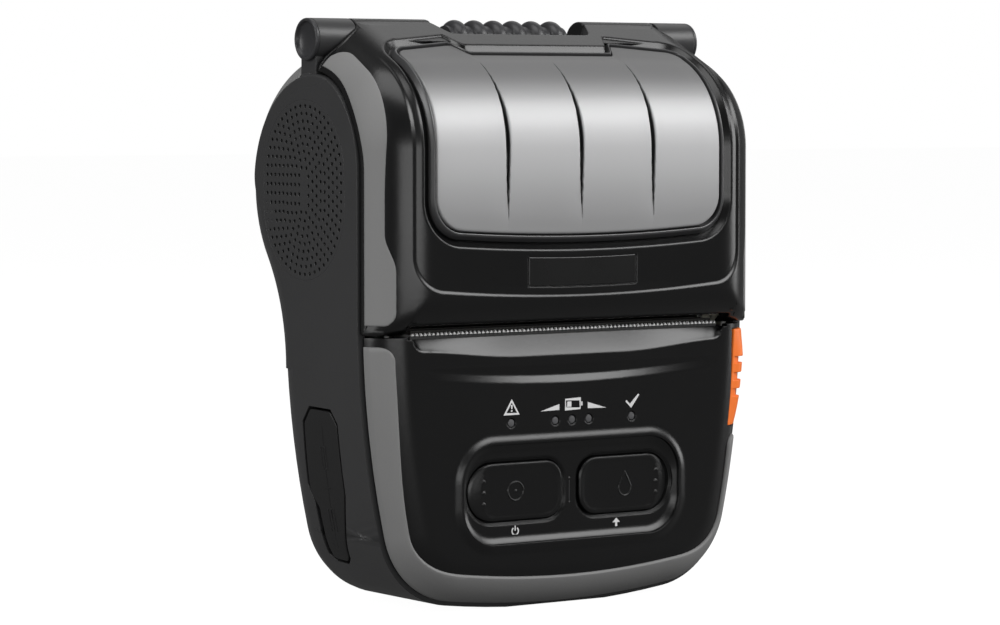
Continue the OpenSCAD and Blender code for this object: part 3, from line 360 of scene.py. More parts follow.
def closed_mesh(name, parts):
    """A mesh of closed parts in mm, with doubles joined and faces turned outwards."""
    points = np.concatenate([p for p, _ in parts]) * 0.001
    starts = np.cumsum([0] + [len(p) for p, _ in parts])
    faces = [[start + k for k in face] for start, (_, f) in zip(starts, parts) for face in f]
    mesh = bpy.data.meshes.new(name)
    mesh.from_pydata(points.tolist(), [], faces)
    shape = bmesh.new()
    shape.from_mesh(mesh)
    bmesh.ops.remove_doubles(shape, verts=shape.verts, dist=2e-6)
    bmesh.ops.dissolve_degenerate(shape, dist=1e-7, edges=shape.edges)
    bmesh.ops.recalc_face_normals(shape, faces=shape.faces)
    shape.to_mesh(mesh)
    shape.free()
    return mesh


def carved(obj, parts):
    """The object's mesh with closed parts in mm cut out of it."""
    tool = placed("tool", closed_mesh("tool", parts))
    cut = obj.modifiers.new("cut", "BOOLEAN")
    cut.operation, cut.solver, cut.object = "DIFFERENCE", "MANIFOLD", tool
    rest = bpy.data.meshes.new_from_object(obj.evaluated_get(bpy.context.evaluated_depsgraph_get()))
    obj.modifiers.clear()
    bpy.data.objects.remove(tool)
    return rest


def piece(name, parts, material, body, *nodes, crease=38, cut=None):
    """Makes an object of closed parts in mm, less the parts in cut, smooth but for edges
    sharper than crease. It rides on the body and stands for the nodes."""
    obj = placed(name, closed_mesh(name, parts))
    if cut:
        obj.data = carved(obj, cut)
    obj.data.shade_smooth()
    obj.data.set_sharp_from_angle(angle=math.radians(crease))
    obj.data.materials.clear()
    obj.data.materials.append(material)
    even = obj.modifiers.new("even", "WEIGHTED_NORMAL")
    even.keep_sharp = True
    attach(obj, body)
    if nodes:
        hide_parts(*nodes)
    return obj


def run(*points, count):
    """Points along straight lines between the given ones, count of them, without the last."""
    way = np.array(points, float)
    along = np.concatenate([[0], np.cumsum(np.linalg.norm(np.diff(way, axis=0), axis=1))])
    t = np.linspace(0, along[-1], count, endpoint=False)
    return np.column_stack([np.interp(t, along, way[:, 0]), np.interp(t, along, way[:, 1])])


def arc(centre, r, start, stop, count, last=False):
    """Points on an arc about centre from start to stop in degrees, with or without the last."""
    a = np.radians(np.linspace(start, stop, count, endpoint=last))
    return np.column_stack([centre[0] + r * np.cos(a), centre[1] + r * np.sin(a)])


def both_halves(*runs):
    """A closed outline from the runs of its right half, mirrored to the left."""
    half = np.concatenate(runs)
    return np.concatenate([half, half[-2:0:-1] * (-1, 1)])


low_cols = [0, 2.5, 5, 7.5, 10, 12.5, 14.74, 14.92, 17, 20]
top_cols = [28, 25, 23, 22.4, 21.9, 21.4, 20.9, 20.4, 19.9, 19.4, 19, 18.3, 14, 10, 6, 3, 0]
face_low, face_bow, pane_bow, tab_dip = 69.2, 0.0012, 0.0011, 5.1


def top_line(u, top, dip, stop):
    """Upper edge: it falls slowly beyond 22 from the middle, up to stop, and is lower by dip
    in the middle, with a smooth step between 22.4 and 19."""
    u = np.abs(u)
    return top - 0.2 * (np.clip(u, 22, stop) - 22) - dip * (1 - ease(19, 22.4, u))


def framed(half, low, r_low, bow, top, r_top, dip):
    """Closed outline in u and s: a lower edge at low + bow u^2, rounded corners, straight sides."""
    u = np.concatenate([low_cols, np.linspace(20, half - r_low, 7)[1:-1]])
    u_top = np.concatenate([np.linspace(half - r_top, 28, 4)[:-1], top_cols])
    side_low = low + bow * (half - r_low) ** 2 + r_low
    side_top = float(top_line(half - r_top, top, dip, half - r_top)) - r_top
    return both_halves(
        np.column_stack([u, low + bow * u * u]),
        arc((half - r_low, side_low), r_low, -90, 0, 16),
        run((half, side_low), (half, side_top), count=66),
        arc((half - r_top, side_top), r_top, 0, 90, 10),
        np.column_stack([u_top, top_line(u_top, top, dip, half - r_top)]))


# The frame's own rim runs along the slot, a notch at each end, the back shell and the hinge.
side_s = np.linspace(62.4, 139.0, 66, endpoint=False)
rim_u = np.concatenate([low_cols, np.linspace(20, 36.8, 7)[1:-1]])
rim = both_halves(
    np.column_stack([rim_u, np.full(len(rim_u), 63.7)]),
    np.array([(36.8, 63.7), (39, 63.7), (41, 63.7), (42.6, 63.7), (43.4, 63.65), (43.8, 63.4),
              (43.9, 62.9), (43.95, 62.3), (44.1, 61.8), (44.5, 61.62), (46, 61.6), (48.5, 61.6),
              (51, 61.6), (53.5, 61.6), (56, 61.6), (56.75, 61.8)]),
    np.column_stack([seam_u(side_s), side_s]),
    np.array([(seam_u(139.0), 139.0), (54.7, 139.7), (53.5, 140.0), (52.2, 140.1), (50.2, 140.0),
              (48.2, 139.8), (46.4, 140.4), (44.6, 141.4), (43.2, 142.2), (42.3, 142.7)]),
    np.array([(41.6, 144.2), (41.2, 145.0), (40.6, 145.2), (35, 145.2), (30, 145.2), (26, 145.2),
              (22.6, 145.2), (21.6, 145.15), (21, 144.6), (20.6, 143.7), (20.2, 142.7),
              (19.8, 141.7), (19.4, 140.7), (19.0, 139.9), (18.4, 139.4), (17.4, 139.3),
              (14, 139.3), (10, 139.3), (6, 139.3), (0, 139.3)]))
face_line = framed(44.4, face_low, 8, face_bow, 139.6, 8, 3.2)
channel_line = framed(41.9, 79.5, 10, pane_bow, 138.2, 7, tab_dip)
pane_line = framed(38.8, 82.65, 6.85, pane_bow, 135.1, 4, tab_dip)


def face_depth(outline):
    """How far the framed face lies below the skin: 0.4, fading out towards the hinge, and more
    inside the seat of the plate under the window."""
    u, s = outline.T
    low = face_low + face_bow * u * u
    seat = (np.abs(u) < 14.8) & (s > low + 2.02) & (s < low + 8.9)
    return 0.4 * (1 - ease(118, 132, s)) + 0.45 * seat


def cover_ring(outline, depth):
    """The points of an outline in u and s, depth below the cover's skin."""
    return on_cover(outline[:, 0], outline[:, 1], depth)


def cover_rings(first, second, shares, depth):
    """Rings between two outlines, at shares of the way, with their depth from a function."""
    lines = [first + t * (second - first) for t in shares]
    return [cover_ring(line, depth(line)) for line in lines]


def bead(outline):
    """Depth of a fine line pressed beside the rim where it sweeps round the hinge barrel, as a
    smooth step up the cover times one across it."""
    return 0.14 * ease(136, 139, outline[:, 1]) * ease(41.5, 43, np.abs(outline[:, 0]))


def channel_ring(share, depth):
    """A ring in the channel, share of the way from its outer edge to the edge of the pane."""
    return cover_ring(channel_line + share * (pane_line - channel_line), depth)


frame_rings = [cover_ring(inset(rim, i), np.full(len(rim), d)) for i, d in
               [(0, 2.4), (0, 0.45), (0.06, 0.2), (0.2, 0.06), (0.45, 0)]]
frame_rings += [cover_ring(inset(rim, i), d * bead(rim)) for i, d in
                [(0.8, 0), (0.9, 1), (1.1, 1), (1.2, 0)]]
frame_rings += cover_rings(inset(rim, 1.4), inset(face_line, -0.5), np.linspace(0, 1, 11),
                           lambda line: 0.0)
frame_rings += [cover_ring(inset(face_line, i), d * face_depth(face_line) / 0.4) for i, d in
                [(-0.25, 0.03), (0, 0.14), (0.25, 0.3), (0.45, 0.385)]]
frame_rings += cover_rings(inset(face_line, 0.7), channel_line - 0.22 * (pane_line - channel_line),
                           [0, 0.145, 0.165, 0.3, 0.45, 0.6, 0.75, 0.84, 0.86, 0.93, 1], face_depth)
frame_rings += [channel_ring(i, d + face_depth(channel_line)) for i, d in
                [(-0.12, 0.02), (-0.04, 0.1), (0.03, 0.28), (0.11, 0.6), (0.36, 1.3), (0.44, 1.45),
                 (0.46, 1.5), (1.6, 1.5), (1.6, 2.0)]]
frame_rings += cover_rings(channel_line + 1.6 * (pane_line - channel_line), rim,
                           np.linspace(0, 1, 15)[1:-1], lambda line: 2.4)


def below_roof(s, depth):
    """Point at length s of the cover's middle section, depth below its skin."""
    y, z, out_y, out_z = roof_line(s)
    return y - depth * out_y, z - depth * out_z


# Two knuckles carry the frame on round the hinge pin, and two arms hold the platen's ends.
knuckle_ends, arm_ends, rib_end = (20.9, 41.6), (42.8, 44.0), 42.9
platen_y, platen_z, arm_r = -18.5, 67.5, 3.6
knuckle = np.concatenate([
    [below_roof(136, 0.5), below_roof(144.9, 0.25)],
    arc((hinge_y, hinge_z), barrel_r, 114, -110, 33, True),
    [(-2.2, 121.8), below_roof(136, 2.2)]])
arm = np.concatenate([[(-27.2, 64.6), (-22, 63.6)],
                      arc((platen_y, platen_z), arm_r, 240, 380, 12, True), [(-18, 76), (-26.6, 76)]])
rib = np.array([(-26.9, 74.6), (-24.4, 74.6), (-24.4, 76), (-26.9, 76)])
frame_parts = [ring_stack(frame_rings), bar(rib, (-rib_end, rib_end), 0.1)]
for side in (-1, 1):
    frame_parts.append(bar(knuckle, sorted(side * x for x in knuckle_ends), 0.55))
    frame_parts.append(bar(arm, sorted(side * x for x in arm_ends), 0.15))
piece("cover_shell", frame_parts, black, "cover", "cover_frame")

# Window
# A smoked polycarbonate pane is bent with the roof and lies in the frame behind a satin grey rim.
# Three slits, tapered to both ends, are pressed into it, each with a shallow dent on its left.
rim_grey = finish("rim_grey", (0.030, 0.030, 0.031), 0.3, grain=0.004, level=0.5, edge=0)
rim_profile = [(0.49, 1.9), (0.49, 1.45), (0.56, 1.2), (0.75, 0.55), (0.8, 0.45), (0.88, 0.43),
               (0.93, 0.52), (0.95, 0.7), (0.95, 1.9)]
piece("window_rim", [ring_stack([channel_ring(i, d) for i, d in rim_profile])], rim_grey, "cover")

pane_half, pane_low, low_r, pane_crest, top_r = 38.55, 82.85, 6.7, 134.8, 3.8
pane_tall = pane_crest - 0.2 * (pane_half - top_r - 22) - pane_low
slits, slit_mid, slit_reach = (-19.8, 0.0, 19.8), 105.5, 19.5
pane_depth, pane_back, slit_deep, dent_deep = 0.62, 1.88, 1.15, 0.4


def slits_at(u, s):
    """How deep a slit is pressed in at u and s, and the share of painted shade, near black, at its bottom
    there.
    Its half width is 0.68 taper^1.5, and the taper is 1 - ((s - slit_mid) / slit_reach)^2."""
    taper = np.clip(1 - ((s - slit_mid) / slit_reach) ** 2, 0, None)
    deep, painted_shade = np.zeros_like(u), np.zeros_like(u)
    for x in slits:
        valley = np.clip(1 - np.abs(u - x) / (0.68 * taper ** 1.5 + 1e-4), 0, 1)
        deep += slit_deep * np.minimum(valley * 1.6, 1) * taper ** 0.5
        painted_shade = np.maximum(painted_shade, ease(0, 0.3, valley) * ease(0.05, 0.4, taper))
    return deep, painted_shade


def dents_at(u, s):
    """Depth of the dents, which fall off with the square of the way left of a slit."""
    fade = ease(84, 92, s) * (1 - ease(93, 112, s))
    return sum(dent_deep * fade * np.where(u < x, (1 - np.clip((x - u) / 6.5, 0, 1)) ** 2, 0)
               for x in slits)


# Columns stand close beside each slit and near the edges, and rows near both ends.
beside = np.array([0.12, 0.24, 0.36, 0.48, 0.6, 0.8])
beside = np.concatenate([[-1.6, -1.1], -beside[::-1], [0], beside, [1.2]])
edge_in = np.array([0, 0.04, 0.12, 0.25, 0.42, 0.6, 0.9])
inner_cols = np.sort(np.concatenate([x + beside for x in slits] + [np.arange(-22, 23, 1.0)]))
inner_cols = inner_cols[np.concatenate([[True], np.diff(inner_cols) > 0.05])]
rows = np.concatenate([[0, 0.03], edge_in[2:5], low_r * (1 - np.cos(np.linspace(0, math.pi / 2, 11)[3:])),
                       np.linspace(low_r, pane_tall - top_r, 52)[1:-1],
                       pane_tall - top_r * (1 - np.cos(np.linspace(math.pi / 2, 0, 8)[:-1])),
                       pane_tall - np.array([0.25, 0.12, 0.03, 0])])
rise = np.unique(np.round(rows, 4))[:, None]
corner = np.maximum(low_r - rise, 0)
corner_top = np.maximum(rise - (pane_tall - top_r), 0)
# The pane's half width at each row is less in its rounded corners.
reach = (pane_half - low_r + np.sqrt(np.clip(low_r ** 2 - corner ** 2, 0, None))
         - top_r + np.sqrt(np.clip(top_r ** 2 - corner_top ** 2, 0, None)))
right = 22.6 + (reach - 0.9 - 22.6) * np.linspace(0, 1, 12)[1:]
edges = reach - edge_in[::-1][1:]
pane_u = np.concatenate([-edges[:, ::-1], -right[:, ::-1], np.tile(inner_cols, (len(rise), 1)),
                         right, edges], 1)
share = rise / pane_tall
low_edge = pane_low + pane_bow * pane_u ** 2
tall = top_line(pane_u, pane_crest, tab_dip, pane_half - top_r) - low_edge
pane_s = low_edge + share * tall


def rolled_edge(to_edge, r):
    """How deep a face lies near its border: a quarter circle of radius r over the distance."""
    return r - np.sqrt(np.clip(r * r - np.clip(r - to_edge, 0, None) ** 2, 0, None))


def on_cover_slab(u, s, top, back):
    """A closed part between two depths below the cover's skin, over a grid of u and s."""
    return slab(on_cover(u, s, top), on_cover(u, s, back))


def in_corner(r, up):
    """Distance into the pane from its rounded corner, of radius r."""
    return r - np.hypot(np.clip(np.abs(pane_u) - pane_half + r, 0, None), up)


to_edge = np.clip(np.minimum.reduce([pane_half - np.abs(pane_u), share * tall, (1 - share) * tall,
                                     in_corner(low_r, corner), in_corner(top_r, corner_top)]), 0, None)
slit_sunk, slit_painted_shade = slits_at(pane_u, pane_s)
sunk = (pane_depth + rolled_edge(to_edge, 0.5) + 0.12 * (1 - ease(0.5, 5, to_edge)) + slit_sunk
        + dents_at(pane_u, pane_s))


def smoked_window():
    """Smoked plastic whose grey is painted by height as light and shade: a painted highlight band where the
    roof starts to bend, painted shade over the roof, and nearly black painted shade where the attribute
    slit is 1.
    """
    material = bpy.data.materials.new("smoked_window")
    material.use_nodes = True
    tree = material.node_tree
    place = new_node(tree, "ShaderNodeTexCoord").outputs["Object"]
    axes = new_node(tree, "ShaderNodeSeparateXYZ", {0: place})
    height = new_node(tree, "ShaderNodeMapRange", {"Value": axes.outputs["Z"], "From Min": 0.082,
                                                   "From Max": 0.124})
    painted_light_ramp = new_node(tree, "ShaderNodeValToRGB", {"Fac": height.outputs["Result"]})
    ramp = painted_light_ramp.color_ramp
    ramp.interpolation = "B_SPLINE"
    # These stops paint light and shade by height: brightest at the start of the roof's bend, darkest over
    # the roof.
    for at, grey in [(0, 0.22), (0.2, 0.28), (0.42, 0.46), (0.62, 0.5), (0.8, 0.14), (0.92, 0.06),
                     (1, 0.04)]:
        stop = ramp.elements.new(at) if 0 < at < 1 else ramp.elements[-at]
        stop.color = (grey, grey, grey * 1.01, 1)
    cloud = new_node(tree, "ShaderNodeTexNoise", {"Vector": place, "Scale": 30})
    vary = new_node(tree, "ShaderNodeMix", data_type="RGBA", blend_type="MULTIPLY")
    feed(tree, vary, {"Factor": 0.08, "A": painted_light_ramp.outputs["Color"], "B": cloud.outputs["Fac"]})
    # The attribute slit mixes in near black as painted shade at the bottom of the slits.
    slit = new_node(tree, "ShaderNodeAttribute", attribute_name="slit")
    tone = new_node(tree, "ShaderNodeMix", data_type="RGBA")
    feed(tree, tone, {"Factor": slit.outputs["Fac"], "A": vary.outputs["Result"],
                      "B": (0.004, 0.004, 0.004, 1)})
    grain = new_node(tree, "ShaderNodeTexNoise", {"Vector": place, "Scale": 1400})
    bump = new_node(tree, "ShaderNodeBump", {"Height": grain.outputs["Fac"], "Distance": 4e-6})
    feed(tree, tree.nodes["Principled BSDF"],
         {"Base Color": tone.outputs["Result"], "Normal": bump.outputs["Normal"], "Roughness": 0.42,
          "Specular IOR Level": 0.5, "Coat Weight": 0.15, "Coat Roughness": 0.25})
    return material


pane = piece("window_pane", [on_cover_slab(pane_u, pane_s, sunk, pane_back + slit_painted_shade)],
             smoked_window(), "cover", "cover_window", crease=60)

# The attribute slit is painted shade: near black at the slits' bottoms, standing in for their shadow.
# The attribute is worked out from each vertex: s is its height, and on the roof the roof's
# radius times its angle round the roof's axis. The pane's back keeps 0.
places = np.empty(len(pane.data.vertices) * 3)
pane.data.vertices.foreach_get("co", places)
x, y, z = places.reshape(-1, 3).T * 1000
on_roof = z > roof_z
s = np.where(on_roof, roof_z + roof_r * np.arctan2(z - roof_z, roof_y - y), z)
depth = np.where(on_roof, roof_r - np.hypot(y - roof_y, z - roof_z), y + cover_front)
painted_shade = slits_at(x, s)[1]
at_front = depth < pane_back + 0.5 * painted_shade - 0.01
pane.data.attributes.new("slit", "FLOAT", "POINT").data.foreach_set("value", painted_shade * at_front)

# Plate under the window
# A thin black ABS plate is pressed into its seat in the cover's face and follows its bow.
# It is bare and glossy, and its edge is softened over 0.15 mm by a square root.
plate_half, plate_low, plate_top, plate_soft = 14.5, 2.35, 8.55, 0.15
near = np.array([0, 0.05, 0.15])
plate_u, plate_v = np.meshgrid(
    np.concatenate([near - plate_half, np.linspace(-14.2, 14.2, 25), plate_half - near[::-1]]),
    np.concatenate([plate_low + near, np.linspace(2.65, 8.25, 7), plate_top - near[::-1]]))
from_rim = np.minimum.reduce([plate_half - np.abs(plate_u), plate_v - plate_low, plate_top - plate_v])
plate_depth = 0.6 + 0.12 * (1 - np.sqrt(np.clip(from_rim / plate_soft, 0, 1)))
plate_s = face_low + face_bow * plate_u ** 2 + plate_v
plate_black = finish("plate_black", (0.0045, 0.0045, 0.0045), 0.28, grain=0.003, level=0.4, edge=0)
piece("plate", [on_cover_slab(plate_u, plate_s, plate_depth, 0.9)], plate_black, "cover", "name_plate")

# Cover bumpers
# Soft grey rubber strips lie over the cover's two rounded edges, glued into a shallow seat.
# Each is wider at its lower end, and its upper end is rounded under the hinge.
rubber = finish("grey_rubber", (0.165, 0.165, 0.164), 0.6, grain=0.02, pitch=1500, level=0.3,
                edge=0.00025, mottle=0.05)
bumper_ends = 63.8, 138.5


def strip(first, last, steps, ends, soft=0.35):
    """Grid over a strip between two lines in u, with rows along s between ends, and its depth.
    The depth is a quarter circle of radius soft near every border."""
    near = soft * np.array([0, 0.06, 0.25, 0.6, 1.0])
    s = np.concatenate([ends[0] + near, np.linspace(ends[0] + soft, ends[1] - soft, steps)[1:-1],
                        ends[1] - near[::-1]])
    low, high = first(s)[:, None], last(s)[:, None]
    across = np.linspace(0, 1, 11)[1:-1]
    u = np.concatenate([low + near, low + soft + (high - low - 2 * soft) * across,
                        high - near[::-1]], 1)
    s = np.repeat(s[:, None], u.shape[1], 1)
    edge = np.minimum.reduce([u - low, high - u, s - ends[0], ends[1] - s])
    return u, s, rolled_edge(edge, soft)


def bumper_inner(s):
    """Inner border of the rubber: wide below, stepping back at 79, slowly closing in above.
    Its corners are a circle of 3 at the lower end and a longer ellipse at the upper one."""
    base = 48.2 + 2.5 * ease(75.5, 83.5, s) - 3.0 * ease(90, 140, s)
    top_end = np.clip(s - 133.6, 0, 4.9) / 4.95
    return base + rolled_edge(s - bumper_ends[0], 3) + 5.4 * rolled_edge(1 - top_end, 1)


def bumper_outer(s):
    """Outer border of the rubber: 1.5 from the back shell's edge."""
    return seam_u(s, 1.5)


bumper_u, bumper_s, bumper_d = strip(bumper_inner, bumper_outer, 90, bumper_ends)
for side, word in ((-1, "left"), (1, "right")):
    piece("cover_rubber_" + word, [on_cover_slab(side * bumper_u, bumper_s, bumper_d - 0.12, 0.9)],
          rubber, "cover", "cover_bumper_" + word)

# Lower front panel
# The panel is black ABS with a fine grain and a rounded edge, screwed on from inside.
# A scoop lies under the slot, a pressed crescent below it, and the keys sit in a framed recess.
face_y, edge_y, skin_r, edge_round, panel_top = -24.8, -15.6, 9.2, 10, 61.2
# The housing's outline in X and Z is a bowed side, a knee and a bowed bottom, three arcs that
# meet at 12.88 and 82.457 degrees below the horizontal.
side_x, side_z, side_r, side_stop = -167.4, 66, 220, -12.88
knee_x, knee_z, knee_r, knee_stop = 27.568, 21.417, 20, -82.457
base_z, base_r = 229.6, 230


def inside_edge(x, z):
    """Distance from the housing's outline to a point inside it, by the arc that faces the point:
    the bowed side, the knee or the bowed bottom."""
    x = np.abs(x)
    side = side_r - np.hypot(x - side_x, z - side_z)
    base = base_r - np.hypot(x, z - base_z)
    knee = knee_r - np.hypot(x - knee_x, z - knee_z)
    by_side = np.degrees(np.arctan2(z - side_z, x - side_x)) >= side_stop
    by_base = np.degrees(np.arctan2(z - base_z, x)) <= knee_stop
    return np.select([by_side & by_base, by_side, by_base], [np.minimum(side, base), side, base], knee)


def outline_at(turn, inset_by, top=panel_top):
    """Point of the right half's outline, inset by a distance. Turn runs from 0 at the top of
    the side, through the knee from 1 to 2, to 3 in the middle of the bottom."""
    turn, inset_by = np.broadcast_arrays(np.asarray(turn, float), np.asarray(inset_by, float))
    start = np.degrees(np.arcsin((top - side_z) / (side_r - inset_by)))
    arcs = [turn <= 1, turn <= 2]
    a = np.radians(np.select(arcs, [start + turn * (side_stop - start),
                                    side_stop + (knee_stop - side_stop) * (turn - 1)],
                             knee_stop - (90 + knee_stop) * (turn - 2)))
    x = np.select(arcs, [side_x, knee_x], 0.0)
    z = np.select(arcs, [side_z, knee_z], base_z)
    r = np.select(arcs, [side_r, knee_r], base_r) - inset_by
    return np.stack([x + r * np.cos(a), z + r * np.sin(a)], -1)


def pressed(x, z):
    """How far the face is pressed in, in mm. The scoop slopes inwards from a low arc up to the
    slot, by the share of that way to the power 0.9. The crescent slopes in evenly above a crisp
    lower lip, which is a parabola, and comes back in a smooth step."""
    x = np.abs(x)
    low = 56 + 2 * ease(14, 42.6, x) + 3.4 * np.clip((x - 39.4) / 3.2, 0, 1) ** 3
    share = np.clip((z - low) / np.maximum(60.7 - low, 0.5), 0, 1.1)
    scoop = 1.75 * share ** 0.9 * (1 - ease(42.2, 42.9, x))
    lip = 49.8 + 2.2 * (x / 40) ** 2
    deep = 0.8 * np.clip(1 - (x / 41) ** 2, 0, 1)
    groove = np.where(z < lip + 1.9, np.clip((z - lip) / 1.9, 0, 1), 1 - ease(lip + 1.9, 54.2, z))
    return scoop + deep * groove


def on_panel(plane, depth=0.0, r=skin_r):
    """Points of the panel's skin over points in X and Z. The skin is a quarter circle of radius
    r near the outline, and flat inside."""
    x, z = plane[:, 0], plane[:, 1]
    near = np.clip(edge_round - inside_edge(x, z), 0, r)
    return np.column_stack([x, edge_y - np.sqrt(np.clip(r * r - near ** 2, 0, None)) + depth, z])


def panel_loop(inset_by):
    """The panel's outline, inset all round but for its upper edge, with a column for each of
    the bezel's."""
    low, knee, side = (outline_at(np.linspace(turn, turn - 1, count, endpoint=False), inset_by)
                       for turn, count in ((3, 40), (2, 26), (1, 62)))
    bend, middle = (38, panel_top), (0, panel_top)
    return both_halves(low, knee, side, run(outline_at(0.0, inset_by), bend, count=26),
                       run(bend, middle, count=68), np.array([middle]))


bezel = both_halves(run((0, 12.4), (21, 12.4), count=40), arc((21, 23.4), 11, -90, 0, 26),
                    run((32, 23.4), (32, 28.4), count=44), arc((21, 28.4), 11, 0, 90, 44),
                    run((21, 39.4), (0, 39.4), count=68), np.array([(0, 39.4)]))
outer_loop, inner_loop, panel_wall = panel_loop(1.34), panel_loop(3.5), 2
panel_rings = [on_panel(bezel + t * (inner_loop - bezel), 0.0, skin_r - panel_wall)
               for t in np.linspace(0, 1, 12)]
for t in np.concatenate([np.linspace(0, 0.55, 44), np.linspace(0.55, 1, 14)[1:]]):
    plane = outer_loop + t * (bezel - outer_loop)
    panel_rings.append(on_panel(plane, pressed(plane[:, 0], plane[:, 1])))
for by, depth in [(0.3, -0.02), (0.7, -0.12), (1.2, -0.32), (1.7, -0.52), (2.1, -0.62), (2.4, -0.64),
                  (2.5, -0.6), (2.56, -0.45), (2.6, 0.0), (2.66, 0.12), (2.8, 0.17), (3.1, 0.3),
                  (3.4, 0.44), (3.7, 0.58), (4.0, 0.69), (4.3, 0.76), (4.6, 0.79), (5, 0.8)]:
    panel_rings.append(on_panel(inset(bezel, by), depth))

# Each key and its well have a rounder outer end.
key_floor = face_y + 0.8


def key_outline(side, grow):
    """A key's outline, grown by a distance, with corners of 4.5 inside and 6.2 outside."""
    far, near, low, top = 27.4 + grow, 2.3 - grow, 20 - grow, 32.8 + grow
    r, q = 6.2 + grow, 4.5 + grow
    line = np.concatenate([
        run((near + q, low), (far - r, low), count=20), arc((far - r, low + r), r, -90, 0, 14),
        run((far, low + r), (far, top - r), count=3), arc((far - r, top - r), r, 0, 90, 14),
        run((far - r, top), (near + q, top), count=20), arc((near + q, top - q), q, 90, 180, 12),
        run((near, top - q), (near, low + q), count=6), arc((near + q, low + q), q, 180, 270, 12)])
    return line if side > 0 else (line * (-1, 1))[::-1]


def flat_path(points, y):
    """Points in X and Z laid at Y, which is one value or one for each point."""
    points = np.asarray(points, float)
    return np.column_stack([points[:, 0], np.full(len(points), y), points[:, 1]])


def stack_of(sections):
    """A closed part from rings (outline, y) from back to front, closed by flat ends."""
    return capped([flat_path(line, y) for line, y in sections])


def turned(centre, rows, count=28):
    """A closed round part about a line along Y, from rows of its radius and Y."""
    return stack_of([(arc(centre, r, 0, 360, count), y) for r, y in rows])


def block(x, y, z):
    """A box between pairs of limits."""
    line = np.array([(x[0], z[0]), (x[1], z[0]), (x[1], z[1]), (x[0], z[1])], float)
    return stack_of([(line, y[1]), (line, y[0])])


lamp_z, lamp_x = 41.5, (-16.5, -4.6, 0, 4.6, 16.5)
wells = [stack_of([(key_outline(side, grow), y) for grow, y in
                   [(0.3, -10), (0.3, key_floor + 0.42), (0.62, key_floor + 0.34),
                    (0.7, key_floor + 0.16), (1.0, key_floor + 0.1), (1.05, key_floor - 2)]])
         for side in (-1, 1)]
lamp_holes = [turned((x, lamp_z), [(1.0, -10), (1.0, face_y + 0.2), (1.3, face_y - 0.1)]) for x in lamp_x]
slot = block((-43.8, 43.8), (-40, -10), (60.7, 80))
button_gap = block((45.5, 60), (-40, -10), (37.6, 60.1))
piece("panel", [capped(panel_rings)], black, "housing", "front_panel", crease=30,
      cut=wells + lamp_holes + [slot, button_gap])

# Keys
# Two black ABS keys stand 0.4 below the panel's face. Their outer ends fall away in a crescent,
# with three small domes beside it, and each has a moulded sign in the middle.
key_face = face_y + 0.42
# Rings from back to front: how far inset, how far the outer end is drawn in, how far behind the
# key's face, and how much deeper the outer end lies, which makes the crescent.
key_rows = [(-0.9, 0, 2.8, 0), (-0.9, 0, 1.93, 0), (0, 0, 1.93, 0), (0, 0, 0.62, 0),
            (0.05, 0, 0.34, 0.5), (0.2, 0.1, 0.14, 0.55), (0.5, 0.3, 0.03, 0.5), (0.75, 0.8, 0, 0.4),
            (0.95, 1.9, 0.02, 0), (1.05, 2.1, 0.06, 0), (1.7, 2.2, 0.1, 0), (2.9, 2.0, 0.14, 0),
            (4.2, 1.6, 0.16, 0)]


def key_part(side):
    """A key: its outline moved square to itself by each row, with the row's other two values
    taken in the share by which a point lies towards the outer end."""
    outline = key_outline(side, 0)
    tip = ease(21.5, 27.4, np.abs(outline[:, 0]))
    square = inset(outline, 1) - outline
    return capped([flat_path(outline + by * square + np.outer(drawn * tip, (-side, 0)),
                             key_face + back + sink * tip) for by, drawn, back, sink in key_rows])


def tube(path, r, sides=8):
    """A round bead of radius r along a closed path, with rings square to it and to Y."""
    way = np.roll(path, -1, 0) - np.roll(path, 1, 0)
    way /= np.linalg.norm(way, axis=1)[:, None]
    across = np.cross(way, (0, 1, 0))
    turn = np.linspace(0, 2 * math.pi, sides, endpoint=False)[None, :, None]
    return ring_stack(path[:, None] + r * (np.cos(turn) * across[:, None]
                                           + np.sin(turn) * np.array([0, 1, 0])))


def dome(x, z, y, r=0.42, high=0.22):
    """A small round dome of that radius and height, which stands on a face at Y."""
    return turned((x, z), [(r, y + 0.15), (r, y), (0.86 * r, y - 0.5 * high),
                           (0.5 * r, y - 0.87 * high), (0.12 * r, y - high)], 12)


sign_y, sign_r = key_face + 0.14, 0.13
ring_sign = arc((-15, 26.4), 2.05, 0, 360, 40)
drop_sign = np.concatenate([arc((15, 25.3), 1.7, -215, 35, 28, True),
                            [(15.75, 27.6), (15.3, 28.4), (15.0, 29.0), (14.7, 28.4), (14.25, 27.6)]])
signs = {-1: [tube(flat_path(ring_sign, sign_y), sign_r), dome(-15, 26.4, sign_y + 0.02, 0.3)],
         1: [tube(flat_path(drop_sign, sign_y), sign_r)]}
for side, word, body in ((-1, "power", "power_button"), (1, "feed", "feed_button")):
    domes = [dome(side * 23.6, z, key_face + 0.12) for z in (23.9, 26.4, 28.9)]
    piece(word + "_cap", [key_part(side)] + domes + signs[side], black, body, word + "_key", crease=30)

# Lamps and printed signs
# Five grey light guides end in the panel's holes. White signs are printed above them and under
# the keys: a warning triangle, a battery between two wedges, a tick, an on sign and an arrow.
lamp_grey = finish("lamp_grey", (0.075, 0.075, 0.078), 0.3, level=0.5, edge=0)
lamp_rows = [(0.85, -12), (0.85, face_y + 0.3), (0.8, face_y + 0.18), (0.5, face_y + 0.1),
             (0.1, face_y + 0.07)]
piece("lamps", [turned((x, lamp_z), lamp_rows) for x in lamp_x], lamp_grey, "housing", "lamp_lenses")
ink_thick = 0.06


